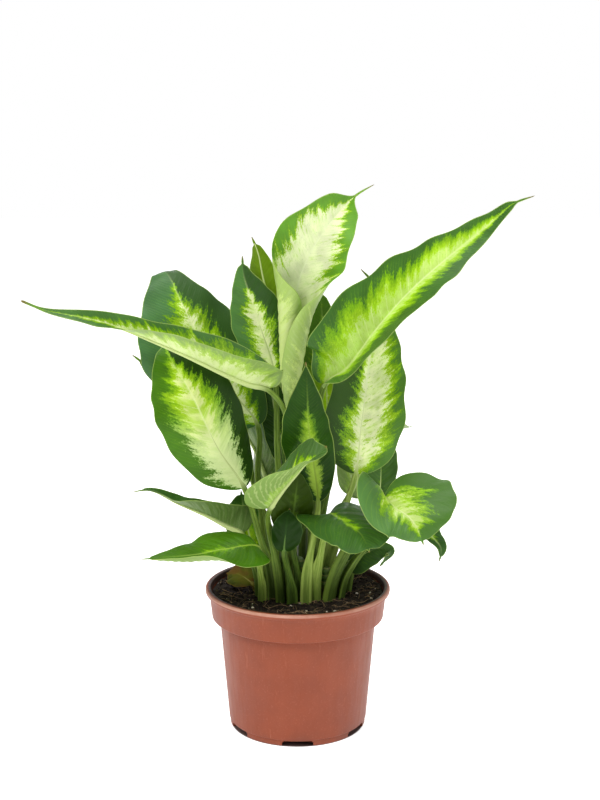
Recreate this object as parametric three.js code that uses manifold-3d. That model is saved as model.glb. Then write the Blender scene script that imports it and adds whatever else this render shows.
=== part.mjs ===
// Potted dieffenbachia: a young plant with several shoots, in a 12 cm growers' pot.
// Millimetres, +Z up. The origin is on the pot's axis, on its underside.

import * as THREE from 'three';
import { mergeVertices } from 'three/addons/utils/BufferGeometryUtils.js';
import Module from 'manifold-3d';

const wasm = await Module();
wasm.setup();

// Pot
const potHeight = 93;
const lipRadius = 60;
const lipHeight = 4;
const lipInnerRadius = 57;
const bandTopRadius = 57.6;
const bandBottomRadius = 55.8;
const bandHeight = 20;
const bodyTopRadius = 50.8;
const baseRadius = 45;
const baseChamfer = 1.2;
const wallThickness = 1.4;
const floorThickness = 2.4;
const roundSegments = 48;
const slotCount = 6;
const slotWidth = 20;
const slotHeight = 3.4;
const slotDepth = 7;

// Soil
const soilTop = 86.5;
const soilRise = 4;
const soilRiseFrom = 0.6;
const soilRoughness = 0.9;
const fitGap = 0.3;
const holeGap = 0.55;

// Leaves
const rootDepth = 12;
const bladeThickness = 0.7;
const ribDepth = 1.6;
const stalkFootRadius = 2.9;
const stalkTopRadius = 1.8;
const stalkSides = 6;
const stalkOverlap = 0.04;
const widestAt = 0.36;
const veinSweep = 0.4;
const lobeEndsAt = 0.45;
const baseRoundness = 0.6;
const usualPoint = 1.9;
const usualTaper = 1.25;
const sweepPower = 1.5;
const waveCount = 2.5;
const leftWaveStart = 0.15;
const rightWaveStart = 0.55;

// Canes
const caneRadius = 4.2;
const caneSides = 12;
const scarBelowTop = 11;
const scarHeight = 0.4;
const taperBelowTop = 4;

const potColour = '#ac5e47';
const soilColour = '#2a1d16';
const caneColour = '#4f6f2c';
const leafColour = '#4f8a34';

// One entry for each leaf. stalk runs from the soil to the blade's base and blade from there to the tip.
// face is the way the upper side looks, from the base to the tip. Each half has its width and, from the
// base to the tip, how far it folds up from the midrib and how far it then curls, in degrees.
const leaves = {
  leaf_crown: {
    stalk: [[-3, -7.5], [-4, -4, 115], [-6, 3, 165]],
    blade: [[-5.5, 7, 205], [-6, 10, 236], [-3, 11, 270], [3, 8, 297], [13, 4, 317], [24, 3, 332],
      [36, 6, 344], [48, 8, 351]],
    face: [[0, -1, 0], [0.1, -1, 0.1]],
    left: { width: 34, fold: [20, 20, 20, 10, 0, 0, 0, 0, 20, 30, 30],
        curl: [340, 340, 340, 310, 220, 110, 10, 0, 0, 0, 0], roll: 1.2 },
    right: { width: 33, fold: [-10, -10, -10, -10, 0, 16, 22, 24, 22, 10, 0],
         curl: [240, 240, 240, 205, 140, 60, 5, 0, 0, 0, 0] },
    lobe: 0.1, widest: 0.26, point: 2.05, taper: 1.15, wave: 1,
  },
  leaf_crown_back: {
    stalk: [[2, 8], [3, 12, 115], [4, 20, 180]],
    blade: [[-8, 21, 235], [-17, 20, 271], [-22, 19, 291], [-25, 17, 307], [-29, 13, 318]],
    face: [[0.1, 1, 0], [0.1, 1, 0]],
    left: { width: 13, fold: [10, 10], curl: [20, 20] },
    right: { width: 13, fold: [10, 10], curl: [20, 20] },
    lobe: 0.1, wave: 0.5,
  },
  leaf_centre_left: {
    stalk: [[-8.5, 3], [-10, 6, 115], [-13, 10, 180]],
    blade: [[-15, 13, 229], [-24, 13, 261], [-30, 13, 280], [-34, 13, 293], [-35, 13, 306]],
    face: [[-0.1, -1, 0.1], [-0.1, -1, 0.1]],
    left: { width: 18, fold: [20, 10], curl: [10, 10] },
    right: { width: 18, fold: [-15, 0], curl: [-10, 0] },
    lobe: 0.1, point: 1.6, wave: 0.8,
  },
  leaf_upper_left: {
    stalk: [[-19, 6], [-20, 9, 110], [-26, 15, 160]],
    blade: [[-26, 18, 195], [-41, 18, 216], [-65, 17, 256], [-74, 18, 275], [-84, 27, 293], [-91, 43, 290]],
    face: [[0.1, -1, 0.3], [0.1, -0.6, 1]],
    left: { width: 41, fold: [0, 0], curl: [-20, -20] },
    right: { width: 31, fold: [0, 0], curl: [-20, -20] },
    lobe: 0.2, widest: 0.43, point: 1.3, wave: 1,
  },
  leaf_far_left: {
    stalk: [[-13, 11], [-16, 15, 110], [-28, 28, 150]],
    blade: [[-40, 38, 183], [-72, 46, 210], [-97, 43, 228], [-109, 39, 238]],
    face: [[0.1, -1, 0.4], [0.1, -1, 0.4]],
    left: { width: 18, fold: [10, 10], curl: [0, 0] },
    right: { width: 18, fold: [10, 10], curl: [0, 0] },
    lobe: 0.1, widest: 0.3, point: 1.2, wave: 1,
  },
  leaf_long_left: {
    stalk: [[-9.5, -5.5], [-9, -10, 115], [-4, -14, 175], [-8, -16, 212]],
    blade: [[-18, -16, 226], [-32, -20, 231], [-66, -31, 249], [-85, -34, 258], [-112, -36, 269],
      [-131, -36, 274], [-152, -36, 278], [-167, -36, 284]],
    face: [[0, 0.1, 1], [0, -0.1, 1], [0, -0.2, 1], [0, -1, 0.6], [0, -1, 0.6]],
    left: { width: 20, lobe: 1.2, fold: [60, 50, 50, 20, 0], curl: [10, 10, 0, 0, 0] },
    right: { width: 21, fold: [70, 70, 70, 20, 0], curl: [0, 0, 0, 0, 0] },
    lobe: 0.7, widest: 0.18, point: 1, taper: 1.25, wave: 1,
  },
  leaf_middle_left: {
    stalk: [[-16.5, -10.5], [-18, -10, 105], [-26, -10, 135]],
    blade: [[-34, -8, 160], [-50, -14, 187], [-66, -16, 222], [-78, -12, 242], [-87, -4, 257]],
    face: [[0.1, -1, 0.3], [0.1, -1, 0.3]],
    left: { width: 28, fold: [0, 0], curl: [-10, -10] },
    right: { width: 26, fold: [0, 0], curl: [-10, -10] },
    lobe: 0.1, widest: 0.42, wave: 1,
  },
  leaf_centre_dark: {
    stalk: [[-5, 10], [-6, 13, 115], [-8, 19, 140]],
    blade: [[-9, 27, 165], [-12, 29, 187], [-16, 30, 208], [-19, 30, 228]],
    face: [[0, -1, 0.1], [0, -1, 0.1]],
    left: { width: 10, fold: [0, 0], curl: [0, 0] },
    right: { width: 14, fold: [0, 0], curl: [0, 0] },
    lobe: 0.1, wave: 0.5,
  },
  leaf_big_right: {
    stalk: [[9, -2], [10, -3, 115], [12, -9, 175]],
    blade: [[17, -14, 228], [30, -18, 239], [49, -17, 264], [68, -12, 285], [87, -8, 302], [119, 0, 327],
      [134, 4, 339], [148, 7, 344]],
    face: [[0.1, -1, 0.3], [-0.1, -1, 0.4], [0, -1, 0.4]],
    left: { width: 33, fold: [10, 10, 0], curl: [20, 0, 0] },
    right: { width: 27, fold: [80, 70, 40, 10, 0, 0], curl: [10, 10, 0] },
    lobe: 0.3, widest: 0.2, point: 1, taper: 1.15, wave: 1,
  },
  leaf_behind_right: {
    stalk: [[9, 6], [11, 8, 110], [17, 13, 140]],
    blade: [[22, 18, 171], [19, 22, 212], [17, 26, 251], [14, 26, 288]],
    face: [[0, -1, 0], [0, -1, 0]],
    left: { width: 18, fold: [10, 10], curl: [0, 0] },
    right: { width: 18, fold: [10, 10], curl: [0, 0] },
    lobe: 0.1, wave: 0.5,
  },
  leaf_centre_front: {
    stalk: [[5, -15.5], [6, -16, 105], [10, -17, 130]],
    blade: [[13, -15, 153], [10, -17, 179], [7, -19, 201], [6, -21, 226], [5, -22, 244]],
    face: [[0, -1, 0.1], [0, -1, 0.1]],
    left: { width: 18, fold: [0, 10], curl: [0, 10] },
    right: { width: 15, fold: [10, 20], curl: [10, 10] },
    lobe: 0.2, wave: 1,
  },
  leaf_middle_right: {
    stalk: [[17, 6], [18, 5, 102], [28, 0, 137]],
    blade: [[37, -3, 168], [40, -4, 197], [44, 0, 229], [47, 8, 260], [48, 15, 287], [40, 19, 297]],
    face: [[0.1, -1, 0.1], [0.1, -1, 0.3]],
    left: { width: 24, fold: [10, 10], curl: [0, 0] },
    right: { width: 27, fold: [0, 0], curl: [0, 0] },
    lobe: 0.2, widest: 0.23, point: 1.7, wave: 1,
  },
  leaf_front_folded: {
    stalk: [[-9.5, -13], [-12, -15, 105], [-18, -21, 136]],
    blade: [[-18, -32, 153], [-10, -37, 166], [-1, -40, 177], [5, -41, 184], [11, -42, 189], [18, -41, 195]],
    face: [[-0.8, 0.1, 0.7], [-0.6, -0.35, 0.7], [-0.3, -0.7, 0.6]],
    left: { width: 21, fold: [30, 0, -10], curl: [0, 0] },
    right: { width: 26, fold: [58, 42, 38], curl: [0, 0] },
    lobe: 0.3, widest: 0.26, point: 4, wave: 0.6,
  },
  leaf_low_left_back: {
    stalk: [[-25, -2], [-26, -2, 97], [-30, -3, 114]],
    blade: [[-35, -4, 129], [-46, -8, 136], [-57, -12, 143], [-76, -15, 152], [-93, -18, 161],
      [-104, -18, 160]],
    face: [[0, 0.1, 1], [0, -0.2, 1], [0, -0.6, 1]],
    left: { width: 17, fold: [95, 60, 35, 25], curl: [0, 0] },
    right: { width: 13, fold: [60, 40, 20, 10], curl: [0, 0] },
    lobe: 0.4, widest: 0.15, point: 1, taper: 1, wave: 0.8,
  },
  leaf_low_left_front: {
    stalk: [[-23.5, -9.5], [-23, -13, 97], [-24, -19, 113]],
    blade: [[-25, -24, 126], [-45, -36, 128], [-62, -44, 127], [-81, -50, 127], [-96, -54, 127]],
    face: [[0, -0.5, 1], [0, -0.4, 1]],
    left: { width: 25, fold: [0, 10, 10, 0, 0], curl: [-20, 0, 130, 150, 60], roll: 3 },
    right: { width: 20, fold: [0, 0], curl: [-20, 0] },
    lobe: 0.5, widest: 0.26, point: 1.1, taper: 1.1, wave: 1,
  },
  leaf_low_right: {
    stalk: [[19.5, -11], [25, -12, 103], [42, -12, 138], [50, -16, 155]],
    blade: [[54, -25, 157], [61, -35, 154], [68, -43, 151], [73, -50, 146], [77, -54, 136]],
    face: [[0, -0.6, 1], [0, -0.7, 1], [0, -0.9, 0.5]],
    left: { width: 37, lobe: 1, fold: [20, 10, 0, -10], curl: [0, -20] },
    right: { width: 29, lobe: 2.2, fold: [115, 30, 20, 0], curl: [-30, -20] },
    lobe: 1.5, round: 0.5, widest: 0.33, point: 1.35, wave: 1,
  },
  leaf_low_right_under: {
    stalk: [[26.5, -7], [31, -6, 100], [50, -4, 127]],
    blade: [[66, -9, 143], [78, -18, 138], [85, -24, 132], [90, -28, 126], [89, -30, 118]],
    face: [[0.3, -0.6, 0.8], [0.5, -0.8, 0.3]],
    left: { width: 8, fold: [0, 0], curl: [0, 0] },
    right: { width: 5, fold: [0, 0], curl: [0, 0] },
    lobe: 0.2, widest: 0.45, wave: 0.6,
  },
  leaf_front_right: {
    stalk: [[12, -12], [13, -16, 105], [17, -21, 134]],
    blade: [[20, -26, 148], [31, -39, 145], [39, -49, 141], [44, -56, 132]],
    face: [[0, -0.1, 1], [0, -0.15, 1], [0.2, -0.6, 0.7]],
    left: { width: 24, fold: [10, 0], curl: [-10, -20] },
    right: { width: 26, lobe: 2.2, fold: [0, 10, 10], curl: [-20, -10] },
    lobe: 1.3, round: 0.6, widest: 0.36, point: 2.2, taper: 1, wave: 0.8,
  },
  leaf_front_small: {
    stalk: [[-3, -15], [-4, -18, 98], [-7, -21, 113]],
    blade: [[-8.5, -25, 123], [-7.5, -27.5, 136], [-6.5, -27, 145], [-5, -24.5, 151]],
    face: [[0, -1, 0.1], [0, -1, 0.1]],
    left: { width: 9, fold: [0, 0], curl: [-10, -10] },
    right: { width: 10.5, fold: [0, 0], curl: [-10, -10] },
    lobe: 0.3, wave: 0.4,
  },
  leaf_right_dark: {
    stalk: [[22.5, 9.5], [26, 9, 93]],
    blade: [[33, 6, 106], [43, 2, 113], [54, -2, 118], [60, -4, 117], [53, -6, 107]],
    face: [[0, -0.8, 0.6], [0.6, -0.8, 0.2]],
    left: { width: 9, fold: [10, 10], curl: [0, 0] },
    right: { width: 12, fold: [10, 10], curl: [0, 0] },
    lobe: 0.4, widest: 0.2, point: 1.1, wave: 0.6,
  },
  leaf_right_grey: {
    stalk: [[29.5, 3], [34, 10, 100], [46, 20, 127]],
    blade: [[53, 24, 143], [55, 28, 162], [54, 32, 182], [49, 36, 196]],
    face: [[0, -1, 0], [0, -1, 0.2]],
    left: { width: 12, fold: [10, 10], curl: [0, 0] },
    right: { width: 11, fold: [10, 10], curl: [0, 0] },
    lobe: 0.2, wave: 0.6,
  },
  leaf_old: {
    stalk: [[-26, 6], [-28, 5, 90]],
    blade: [[-30, 4, 92.5], [-35, 7, 95.5], [-41, 11, 97], [-47, 14, 96]],
    face: [[0.1, -0.65, 0.8], [0.1, -0.65, 0.8]],
    left: { width: 10.5, fold: [10, 0], curl: [0, -20] },
    right: { width: 10.5, fold: [10, 0], curl: [0, -20] },
    lobe: 0.2, wave: 0.8,
  },
  leaf_centre_olive: {
    stalk: [[4, -8.5], [0, -13, 105]],
    blade: [[-4, -19, 130], [-2, -21, 152], [1, -21, 176]],
    face: [[0, -1, 0], [0, -1, 0]],
    left: { width: 15, fold: [10, 10], curl: [0, 0] },
    right: { width: 12, fold: [0, 0], curl: [0, 0] },
    lobe: 0.1, wave: 0.4,
  },
  leaf_back_left: {
    stalk: [[-9, 18], [-12, 24, 110]],
    blade: [[-18, 36, 145], [-28, 52, 170], [-42, 72, 186], [-56, 92, 186]],
    face: [[0.2, 1, 0.5], [-0.2, 0.2, 1]],
    left: { width: 22, fold: [10, 10], curl: [0, 0] },
    right: { width: 22, fold: [10, 10], curl: [0, 0] },
    lobe: 0.3, wave: 1,
  },
  leaf_back: {
    stalk: [[0, 15.5], [2, 20, 115], [4, 28, 150]],
    blade: [[6, 36, 178], [10, 48, 210], [14, 66, 236], [18, 90, 250]],
    face: [[0, 1, 0.4], [0, 0.3, 1]],
    left: { width: 26, fold: [10, 10], curl: [0, 0] },
    right: { width: 26, fold: [10, 10], curl: [0, 0] },
    lobe: 0.2, wave: 1,
  },
  leaf_back_right: {
    stalk: [[9, 14], [16, 21, 110]],
    blade: [[34, 38, 143], [48, 54, 166], [63, 68, 179], [80, 84, 180]],
    face: [[0.2, 1, 0.6], [0.2, 0.2, 1]],
    left: { width: 20, fold: [10, 10], curl: [0, 0] },
    right: { width: 20, fold: [10, 10], curl: [0, 0] },
    lobe: 0.3, wave: 1,
  },
  leaf_low_back: {
    stalk: [[17, 13], [22, 18, 106]],
    blade: [[32, 30, 121], [43, 44, 130], [54, 60, 128], [61, 75, 114]],
    face: [[0, 0.6, 1], [0.2, 0.6, 0.8]],
    left: { width: 20, fold: [0, 0], curl: [-10, -10] },
    right: { width: 20, fold: [0, 0], curl: [-10, -10] },
    lobe: 0.6, wave: 0.8,
  },
  leaf_low_back_left: {
    stalk: [[-17, 15], [-23, 20, 98]],
    blade: [[-29, 25, 107], [-33, 28, 121], [-36, 32, 134], [-38, 38, 146]],
    face: [[0.2, -1, 0.5], [0.2, -1, 0.8]],
    left: { width: 15, fold: [10, 10], curl: [0, 0] },
    right: { width: 15, fold: [10, 10], curl: [0, 0] },
    lobe: 0.3, wave: 0.8,
  },
  leaf_inner_back: {
    stalk: [[4, 23], [6, 28, 97]],
    blade: [[6, 33, 110], [5, 37, 126], [4, 43, 140], [4, 50, 152]],
    face: [[0, -1, 0.5], [0, -1, 0.8]],
    left: { width: 14, fold: [10, 10], curl: [0, 0] },
    right: { width: 14, fold: [10, 10], curl: [0, 0] },
    lobe: 0.3, wave: 0.8,
  },
};

const canes = {
  cane_left: [-17, -2, 104],
  cane_centre: [1, 0, 112],
  cane_right: [19, -3, 106],
};

// Stations along and across a blade, with more of them where a half is rolled up. The first and last points
// along it are single points.
const alongStations = [0.03, 0.12, 0.24, 0.37, 0.48, 0.58, 0.72, 0.87];
const acrossStations = [-1, -0.7, -0.35, 0, 0.35, 0.7, 1];
const rolledAlong = [0.03, 0.1, 0.2, 0.29, 0.36, 0.43, 0.5, 0.58, 0.68, 0.79, 0.9];
const rolledAcross = [-1, -0.88, -0.76, -0.63, -0.5, -0.35, -0.18, 0, 0.18, 0.35, 0.5, 0.63, 0.76, 0.88, 1];
const rolledFrom = 200;
const stalkStations = [0, 0.15, 0.3, 0.5, 0.7, 0.9];

const solidOf = (geometry) => {
  const plain = geometry.clone();
  plain.deleteAttribute('normal');
  plain.deleteAttribute('uv');
  const merged = mergeVertices(plain, 1e-4);
  return new wasm.Manifold(new wasm.Mesh({
    numProp: 3,
    vertProperties: new Float32Array(merged.attributes.position.array),
    triVerts: new Uint32Array(merged.index.array),
  }));
};

const geometryOf = (solid) => {
  const mesh = solid.getMesh();
  const geometry = new THREE.BufferGeometry();
  geometry.setAttribute('position', new THREE.BufferAttribute(mesh.vertProperties, 3));
  geometry.setIndex(new THREE.BufferAttribute(mesh.triVerts, 1));
  geometry.computeVertexNormals();
  return geometry;
};

// A closed skin through rings of points, with one point at each end. From the ring's point mirrorFrom on,
// the squares are split the other way, so that both faces of a blade crease alike.
const loftThrough = (first, rings, last, mirrorFrom) => {
  const count = rings[0].length;
  const points = [first, ...rings.flat(), last];
  const triangles = [];
  const at = (ring, k) => 1 + ring * count + (k % count);
  for (let k = 0; k < count; k += 1) {
    triangles.push(0, at(0, k + 1), at(0, k));
    for (let ring = 0; ring < rings.length - 1; ring += 1) {
      const [a, b] = [at(ring, k), at(ring, k + 1)];
      const [c, d] = [at(ring + 1, k), at(ring + 1, k + 1)];
      if (k >= mirrorFrom) triangles.push(a, b, c, b, d, c);
      else triangles.push(a, b, d, a, d, c);
    }
    triangles.push(at(rings.length - 1, k), at(rings.length - 1, k + 1), points.length - 1);
  }
  const geometry = new THREE.BufferGeometry().setFromPoints(points);
  geometry.setIndex(triangles);
  return geometry;
};

const mix = (values, u) => {
  const place = Math.min(Math.max(u, 0), 0.9999) * (values.length - 1);
  const k = Math.floor(place);
  return THREE.MathUtils.lerp(values[k], values[k + 1], place - k);
};

// The path of one leaf's midrib, from the stalk's foot in the soil to the blade's tip.
const pathOf = (leaf) => {
  const foot = [...leaf.stalk[0], soilTop - rootDepth];
  const points = [foot, ...leaf.stalk.slice(1), ...leaf.blade].map((p) => new THREE.Vector3(...p));
  const curve = new THREE.CatmullRomCurve3(points);
  const stepsEach = 40;
  curve.arcLengthDivisions = stepsEach * (points.length - 1);
  const lengths = curve.getLengths();
  const baseAt = lengths[stepsEach * leaf.stalk.length] / lengths.at(-1);
  return { curve, baseAt, bladeLength: (1 - baseAt) * lengths.at(-1) };
};

// The midrib's place, its direction, the upper side's direction and the way to the right half.
const frameAt = (leaf, path, u) => {
  const t = path.baseAt + (1 - path.baseAt) * u;
  const centre = path.curve.getPointAt(t);
  const along = path.curve.getTangentAt(t);
  const up = new THREE.Vector3(...[0, 1, 2].map((k) => mix(leaf.face.map((f) => f[k]), u)));
  up.addScaledVector(along, -up.dot(along)).normalize();
  const across = new THREE.Vector3().crossVectors(along, up);
  return { centre, along, up, across };
};

const outlineAt = (leaf, u) => {
  const widest = leaf.widest ?? widestAt;
  if (u < widest) return Math.sin((Math.PI / 2) * (u / widest)) ** baseRoundness;
  return (1 - ((u - widest) / (1 - widest)) ** (leaf.point ?? usualPoint)) ** (leaf.taper ?? usualTaper);
};

// A point of the blade: u runs from the base to the tip, s from the left margin at -1 to the right.
const bladePoint = (leaf, path, u, s) => {
  const { centre, along, up, across } = frameAt(leaf, path, u);
  const half = s < 0 ? leaf.left : leaf.right;
  const reach = half.width * outlineAt(leaf, u);
  const fold = THREE.MathUtils.degToRad(mix(half.fold, u));
  const curl = THREE.MathUtils.degToRad(mix(half.curl, u));
  const steps = 16;
  let outward = 0;
  let upward = 0;
  for (let k = 0; k < steps; k += 1) {
    const angle = fold + curl * (Math.abs(s) * ((k + 0.5) / steps)) ** (half.roll ?? 1);
    outward += (Math.cos(angle) * Math.abs(s) * reach) / steps;
    upward += (Math.sin(angle) * Math.abs(s) * reach) / steps;
  }
  const lobe = half.lobe ?? leaf.lobe;
  const forward = leaf.round
    ? Math.min(u / lobeEndsAt, 1) ** leaf.round
    : THREE.MathUtils.smoothstep(u, 0, lobeEndsAt);
  const spread = THREE.MathUtils.lerp(-lobe, veinSweep, forward);
  const sweep = spread * reach * Math.abs(s) ** sweepPower;
  const waves = waveCount * u + (s < 0 ? leftWaveStart : rightWaveStart);
  const ripple = leaf.wave * s * s * Math.sin(2 * Math.PI * waves) * outlineAt(leaf, u);
  return centre
    .addScaledVector(across, Math.sign(s) * outward)
    .addScaledVector(up, upward + ripple)
    .addScaledVector(along, sweep);
};

const bladeNormal = (leaf, path, u, s) => {
  const step = 0.02;
  const alongSide = bladePoint(leaf, path, Math.min(u + step, 1), s).sub(bladePoint(leaf, path, u - step, s));
  const acrossSide = bladePoint(leaf, path, u, Math.min(s + step, 1))
    .sub(bladePoint(leaf, path, u, Math.max(s - step, -1)));
  return acrossSide.cross(alongSide).normalize();
};

const makeBlade = (leaf, path) => {
  const rolled = Math.max(...leaf.left.curl, ...leaf.right.curl) > rolledFrom;
  const acrossAt = rolled ? rolledAcross : acrossStations;
  const rings = (rolled ? rolledAlong : alongStations).map((u) => {
    const upper = [];
    const lower = [];
    for (const s of acrossAt) {
      const point = bladePoint(leaf, path, u, s);
      const normal = bladeNormal(leaf, path, u, s);
      const rib = s === 0 ? ribDepth * (1 - u) : 0;
      upper.push(point.clone().addScaledVector(normal, bladeThickness / 2));
      lower.push(point.clone().addScaledVector(normal, -bladeThickness / 2 - rib));
    }
    return [...upper, ...lower.reverse()];
  });
  const base = frameAt(leaf, path, 0).centre;
  const tip = frameAt(leaf, path, 1).centre;
  return loftThrough(base, rings, tip, acrossAt.length);
};

// A ring of points about the path, at the share k of the stalk's length.
const stalkRing = (path, t, k, clearance) => {
  const centre = path.curve.getPointAt(t);
  const along = path.curve.getTangentAt(t);
  const first = new THREE.Vector3(1, 0, 0).addScaledVector(along, -along.x).normalize();
  const second = new THREE.Vector3().crossVectors(along, first);
  const radius = THREE.MathUtils.lerp(stalkFootRadius, stalkTopRadius, k) + clearance;
  return Array.from({ length: stalkSides }, (_, side) => {
    const angle = (2 * Math.PI * side) / stalkSides;
    return centre.clone()
      .addScaledVector(first, radius * Math.cos(angle))
      .addScaledVector(second, radius * Math.sin(angle));
  });
};

// The stalk, from its foot in the soil to just inside the blade, grown by some clearance for its hole.
const makeStalk = (path, clearance) => {
  const end = path.baseAt + stalkOverlap * (1 - path.baseAt);
  const rings = stalkStations.map((k) => stalkRing(path, k * end, k, clearance));
  const foot = path.curve.getPointAt(0);
  foot.z -= clearance;
  rings[0].forEach((point) => point.setZ(point.z - clearance));
  return loftThrough(foot, rings, path.curve.getPointAt(end), stalkSides);
};

const makeLeaf = (leaf, path) => {
  const blade = solidOf(makeBlade(leaf, path));
  const stalk = solidOf(makeStalk(path, 0));
  return blade.add(stalk);
};

// Turns a profile of [radius, height] pairs about the pot's axis.
const turned = (profile) => {
  const points = profile.map(([r, z]) => new THREE.Vector2(r, z));
  return new THREE.LatheGeometry(points, roundSegments).rotateX(Math.PI / 2);
};

const makePot = () => {
  const step = potHeight - bandHeight;
  const innerStep = step + wallThickness;
  const body = solidOf(turned([
    [0, 0],
    [baseRadius - baseChamfer, 0],
    [baseRadius, baseChamfer],
    [bodyTopRadius, step],
    [bandBottomRadius, step],
    [bandTopRadius, potHeight - lipHeight],
    [lipRadius, potHeight - lipHeight],
    [lipRadius, potHeight - 1],
    [lipRadius - 1, potHeight],
    [lipInnerRadius, potHeight],
    [bandTopRadius - wallThickness, potHeight - 1.5],
    [bandBottomRadius - wallThickness, innerStep],
    [bodyTopRadius - wallThickness, innerStep],
    [baseRadius - wallThickness, floorThickness],
    [0, floorThickness],
  ]));
  let pot = body;
  for (let k = 0; k < slotCount; k += 1) {
    const slot = new THREE.BoxGeometry(slotWidth, slotDepth * 2, slotHeight * 2);
    slot.translate(0, -baseRadius, 0).rotateZ((2 * Math.PI * k) / slotCount);
    pot = pot.subtract(solidOf(slot));
  }
  return pot;
};

const soilBump = (x, y) => Math.sin(x * 0.31 + 1.3 * Math.sin(y * 0.23)) * Math.cos(y * 0.27 + x * 0.11);

// The peat is flat round the stalks and stands higher along the pot's wall.
const makeSoil = (paths) => {
  const step = potHeight - bandHeight + wallThickness;
  const inner = wallThickness + fitGap;
  const wallRadiusAt = (z) => THREE.MathUtils.mapLinear(
    z, step, potHeight - 1.5, bandBottomRadius - inner, bandTopRadius - inner);
  const edge = wallRadiusAt(soilTop + soilRise);
  const topRings = [0.92, 0.8, 0.68, 0.48, 0.25];
  const heightAt = (share) => soilTop + soilRise * THREE.MathUtils.smoothstep(share, soilRiseFrom, 1);
  const body = turned([
    [0, floorThickness + fitGap],
    [baseRadius - inner - 0.1, floorThickness + fitGap],
    [bodyTopRadius - inner - 0.1, step + fitGap],
    [bandBottomRadius - inner, step + fitGap],
    [edge, heightAt(1)],
    ...topRings.map((share) => [edge * share, heightAt(share)]),
    [0, soilTop],
  ]);
  const places = body.attributes.position;
  for (let k = 0; k < places.count; k += 1) {
    const radius = Math.hypot(places.getX(k), places.getY(k));
    if (places.getZ(k) > soilTop - 0.01 && radius < edge - 0.01) {
      const bump = soilRoughness * soilBump(places.getX(k), places.getY(k)) * Math.min(1, radius / 6);
      places.setZ(k, places.getZ(k) + bump);
    }
  }
  let soil = solidOf(body);
  for (const path of Object.values(paths)) soil = soil.subtract(solidOf(makeStalk(path, holeGap)));
  for (const cane of Object.values(canes)) soil = soil.subtract(solidOf(makeCane(cane, holeGap)));
  return soil;
};

// A short cane with a ring at each leaf scar and a rounded end.
const makeCane = ([x, y, top], clearance) => {
  const foot = soilTop - rootDepth - clearance;
  const radius = caneRadius + clearance;
  const profile = [
    [0, foot],
    [radius, foot],
    [radius, top - scarBelowTop - 1],
    [radius + scarHeight, top - scarBelowTop],
    [radius - scarHeight, top - scarBelowTop + 1],
    [radius - 2 * scarHeight, top - taperBelowTop],
    [radius / 2, top - 1],
    [0, top],
  ].map(([r, z]) => new THREE.Vector2(r, z));
  return new THREE.LatheGeometry(profile, caneSides).rotateX(Math.PI / 2).translate(x, y, 0);
};

const meshOf = (name, solid, colour, roughness) => {
  const material = new THREE.MeshStandardMaterial({ color: colour, roughness, metalness: 0 });
  const mesh = new THREE.Mesh(geometryOf(solid), material);
  mesh.name = name;
  return mesh;
};

const plant = new THREE.Group();
const paths = Object.fromEntries(Object.entries(leaves).map(([name, leaf]) => [name, pathOf(leaf)]));
plant.add(meshOf('pot', makePot(), potColour, 0.45));
plant.add(meshOf('soil', makeSoil(paths), soilColour, 1));
for (const [name, cane] of Object.entries(canes)) {
  plant.add(meshOf(name, solidOf(makeCane(cane, 0)), caneColour, 0.6));
}
for (const [name, leaf] of Object.entries(leaves)) {
  plant.add(meshOf(name, makeLeaf(leaf, paths[name]), leafColour, 0.4));
}

export default plant;
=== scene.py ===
import math
import bpy
import bmesh
import numpy as np
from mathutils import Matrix, Vector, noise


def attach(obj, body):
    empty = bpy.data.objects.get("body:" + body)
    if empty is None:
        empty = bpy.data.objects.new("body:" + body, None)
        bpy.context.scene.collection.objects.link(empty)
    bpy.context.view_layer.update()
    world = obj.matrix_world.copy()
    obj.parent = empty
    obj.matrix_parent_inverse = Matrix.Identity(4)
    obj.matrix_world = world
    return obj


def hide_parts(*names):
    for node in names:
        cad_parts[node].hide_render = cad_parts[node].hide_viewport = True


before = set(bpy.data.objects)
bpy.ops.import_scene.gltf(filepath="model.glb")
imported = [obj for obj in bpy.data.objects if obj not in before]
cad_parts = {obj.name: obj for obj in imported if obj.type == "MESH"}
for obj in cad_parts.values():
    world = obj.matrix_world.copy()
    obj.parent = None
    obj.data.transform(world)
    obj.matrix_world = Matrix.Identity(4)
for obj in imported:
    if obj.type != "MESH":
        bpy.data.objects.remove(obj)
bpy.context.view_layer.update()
print("frame loaded:", len(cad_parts), "nodes")

mm = 0.001

# Camera
camera = {"place": (0.0015, -0.949, 0.4086), "tiltDegrees": 78.5, "lens": 68.625, "sensor": 36}

cameraData = bpy.data.cameras.new("camera")
cameraData.lens = camera["lens"]
cameraData.sensor_width = camera["sensor"]
cameraObject = bpy.data.objects.new("camera", cameraData)
cameraObject.location = camera["place"]
cameraObject.rotation_euler = (math.radians(camera["tiltDegrees"]), 0, 0)
bpy.context.collection.objects.link(cameraObject)
bpy.context.scene.camera = cameraObject


def colour(code):
    parts = [int(code[k:k + 2], 16) / 255 for k in (1, 3, 5)]
    return (*[c / 12.92 if c <= 0.04045 else ((c + 0.055) / 1.055) ** 2.4 for c in parts], 1)


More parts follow.
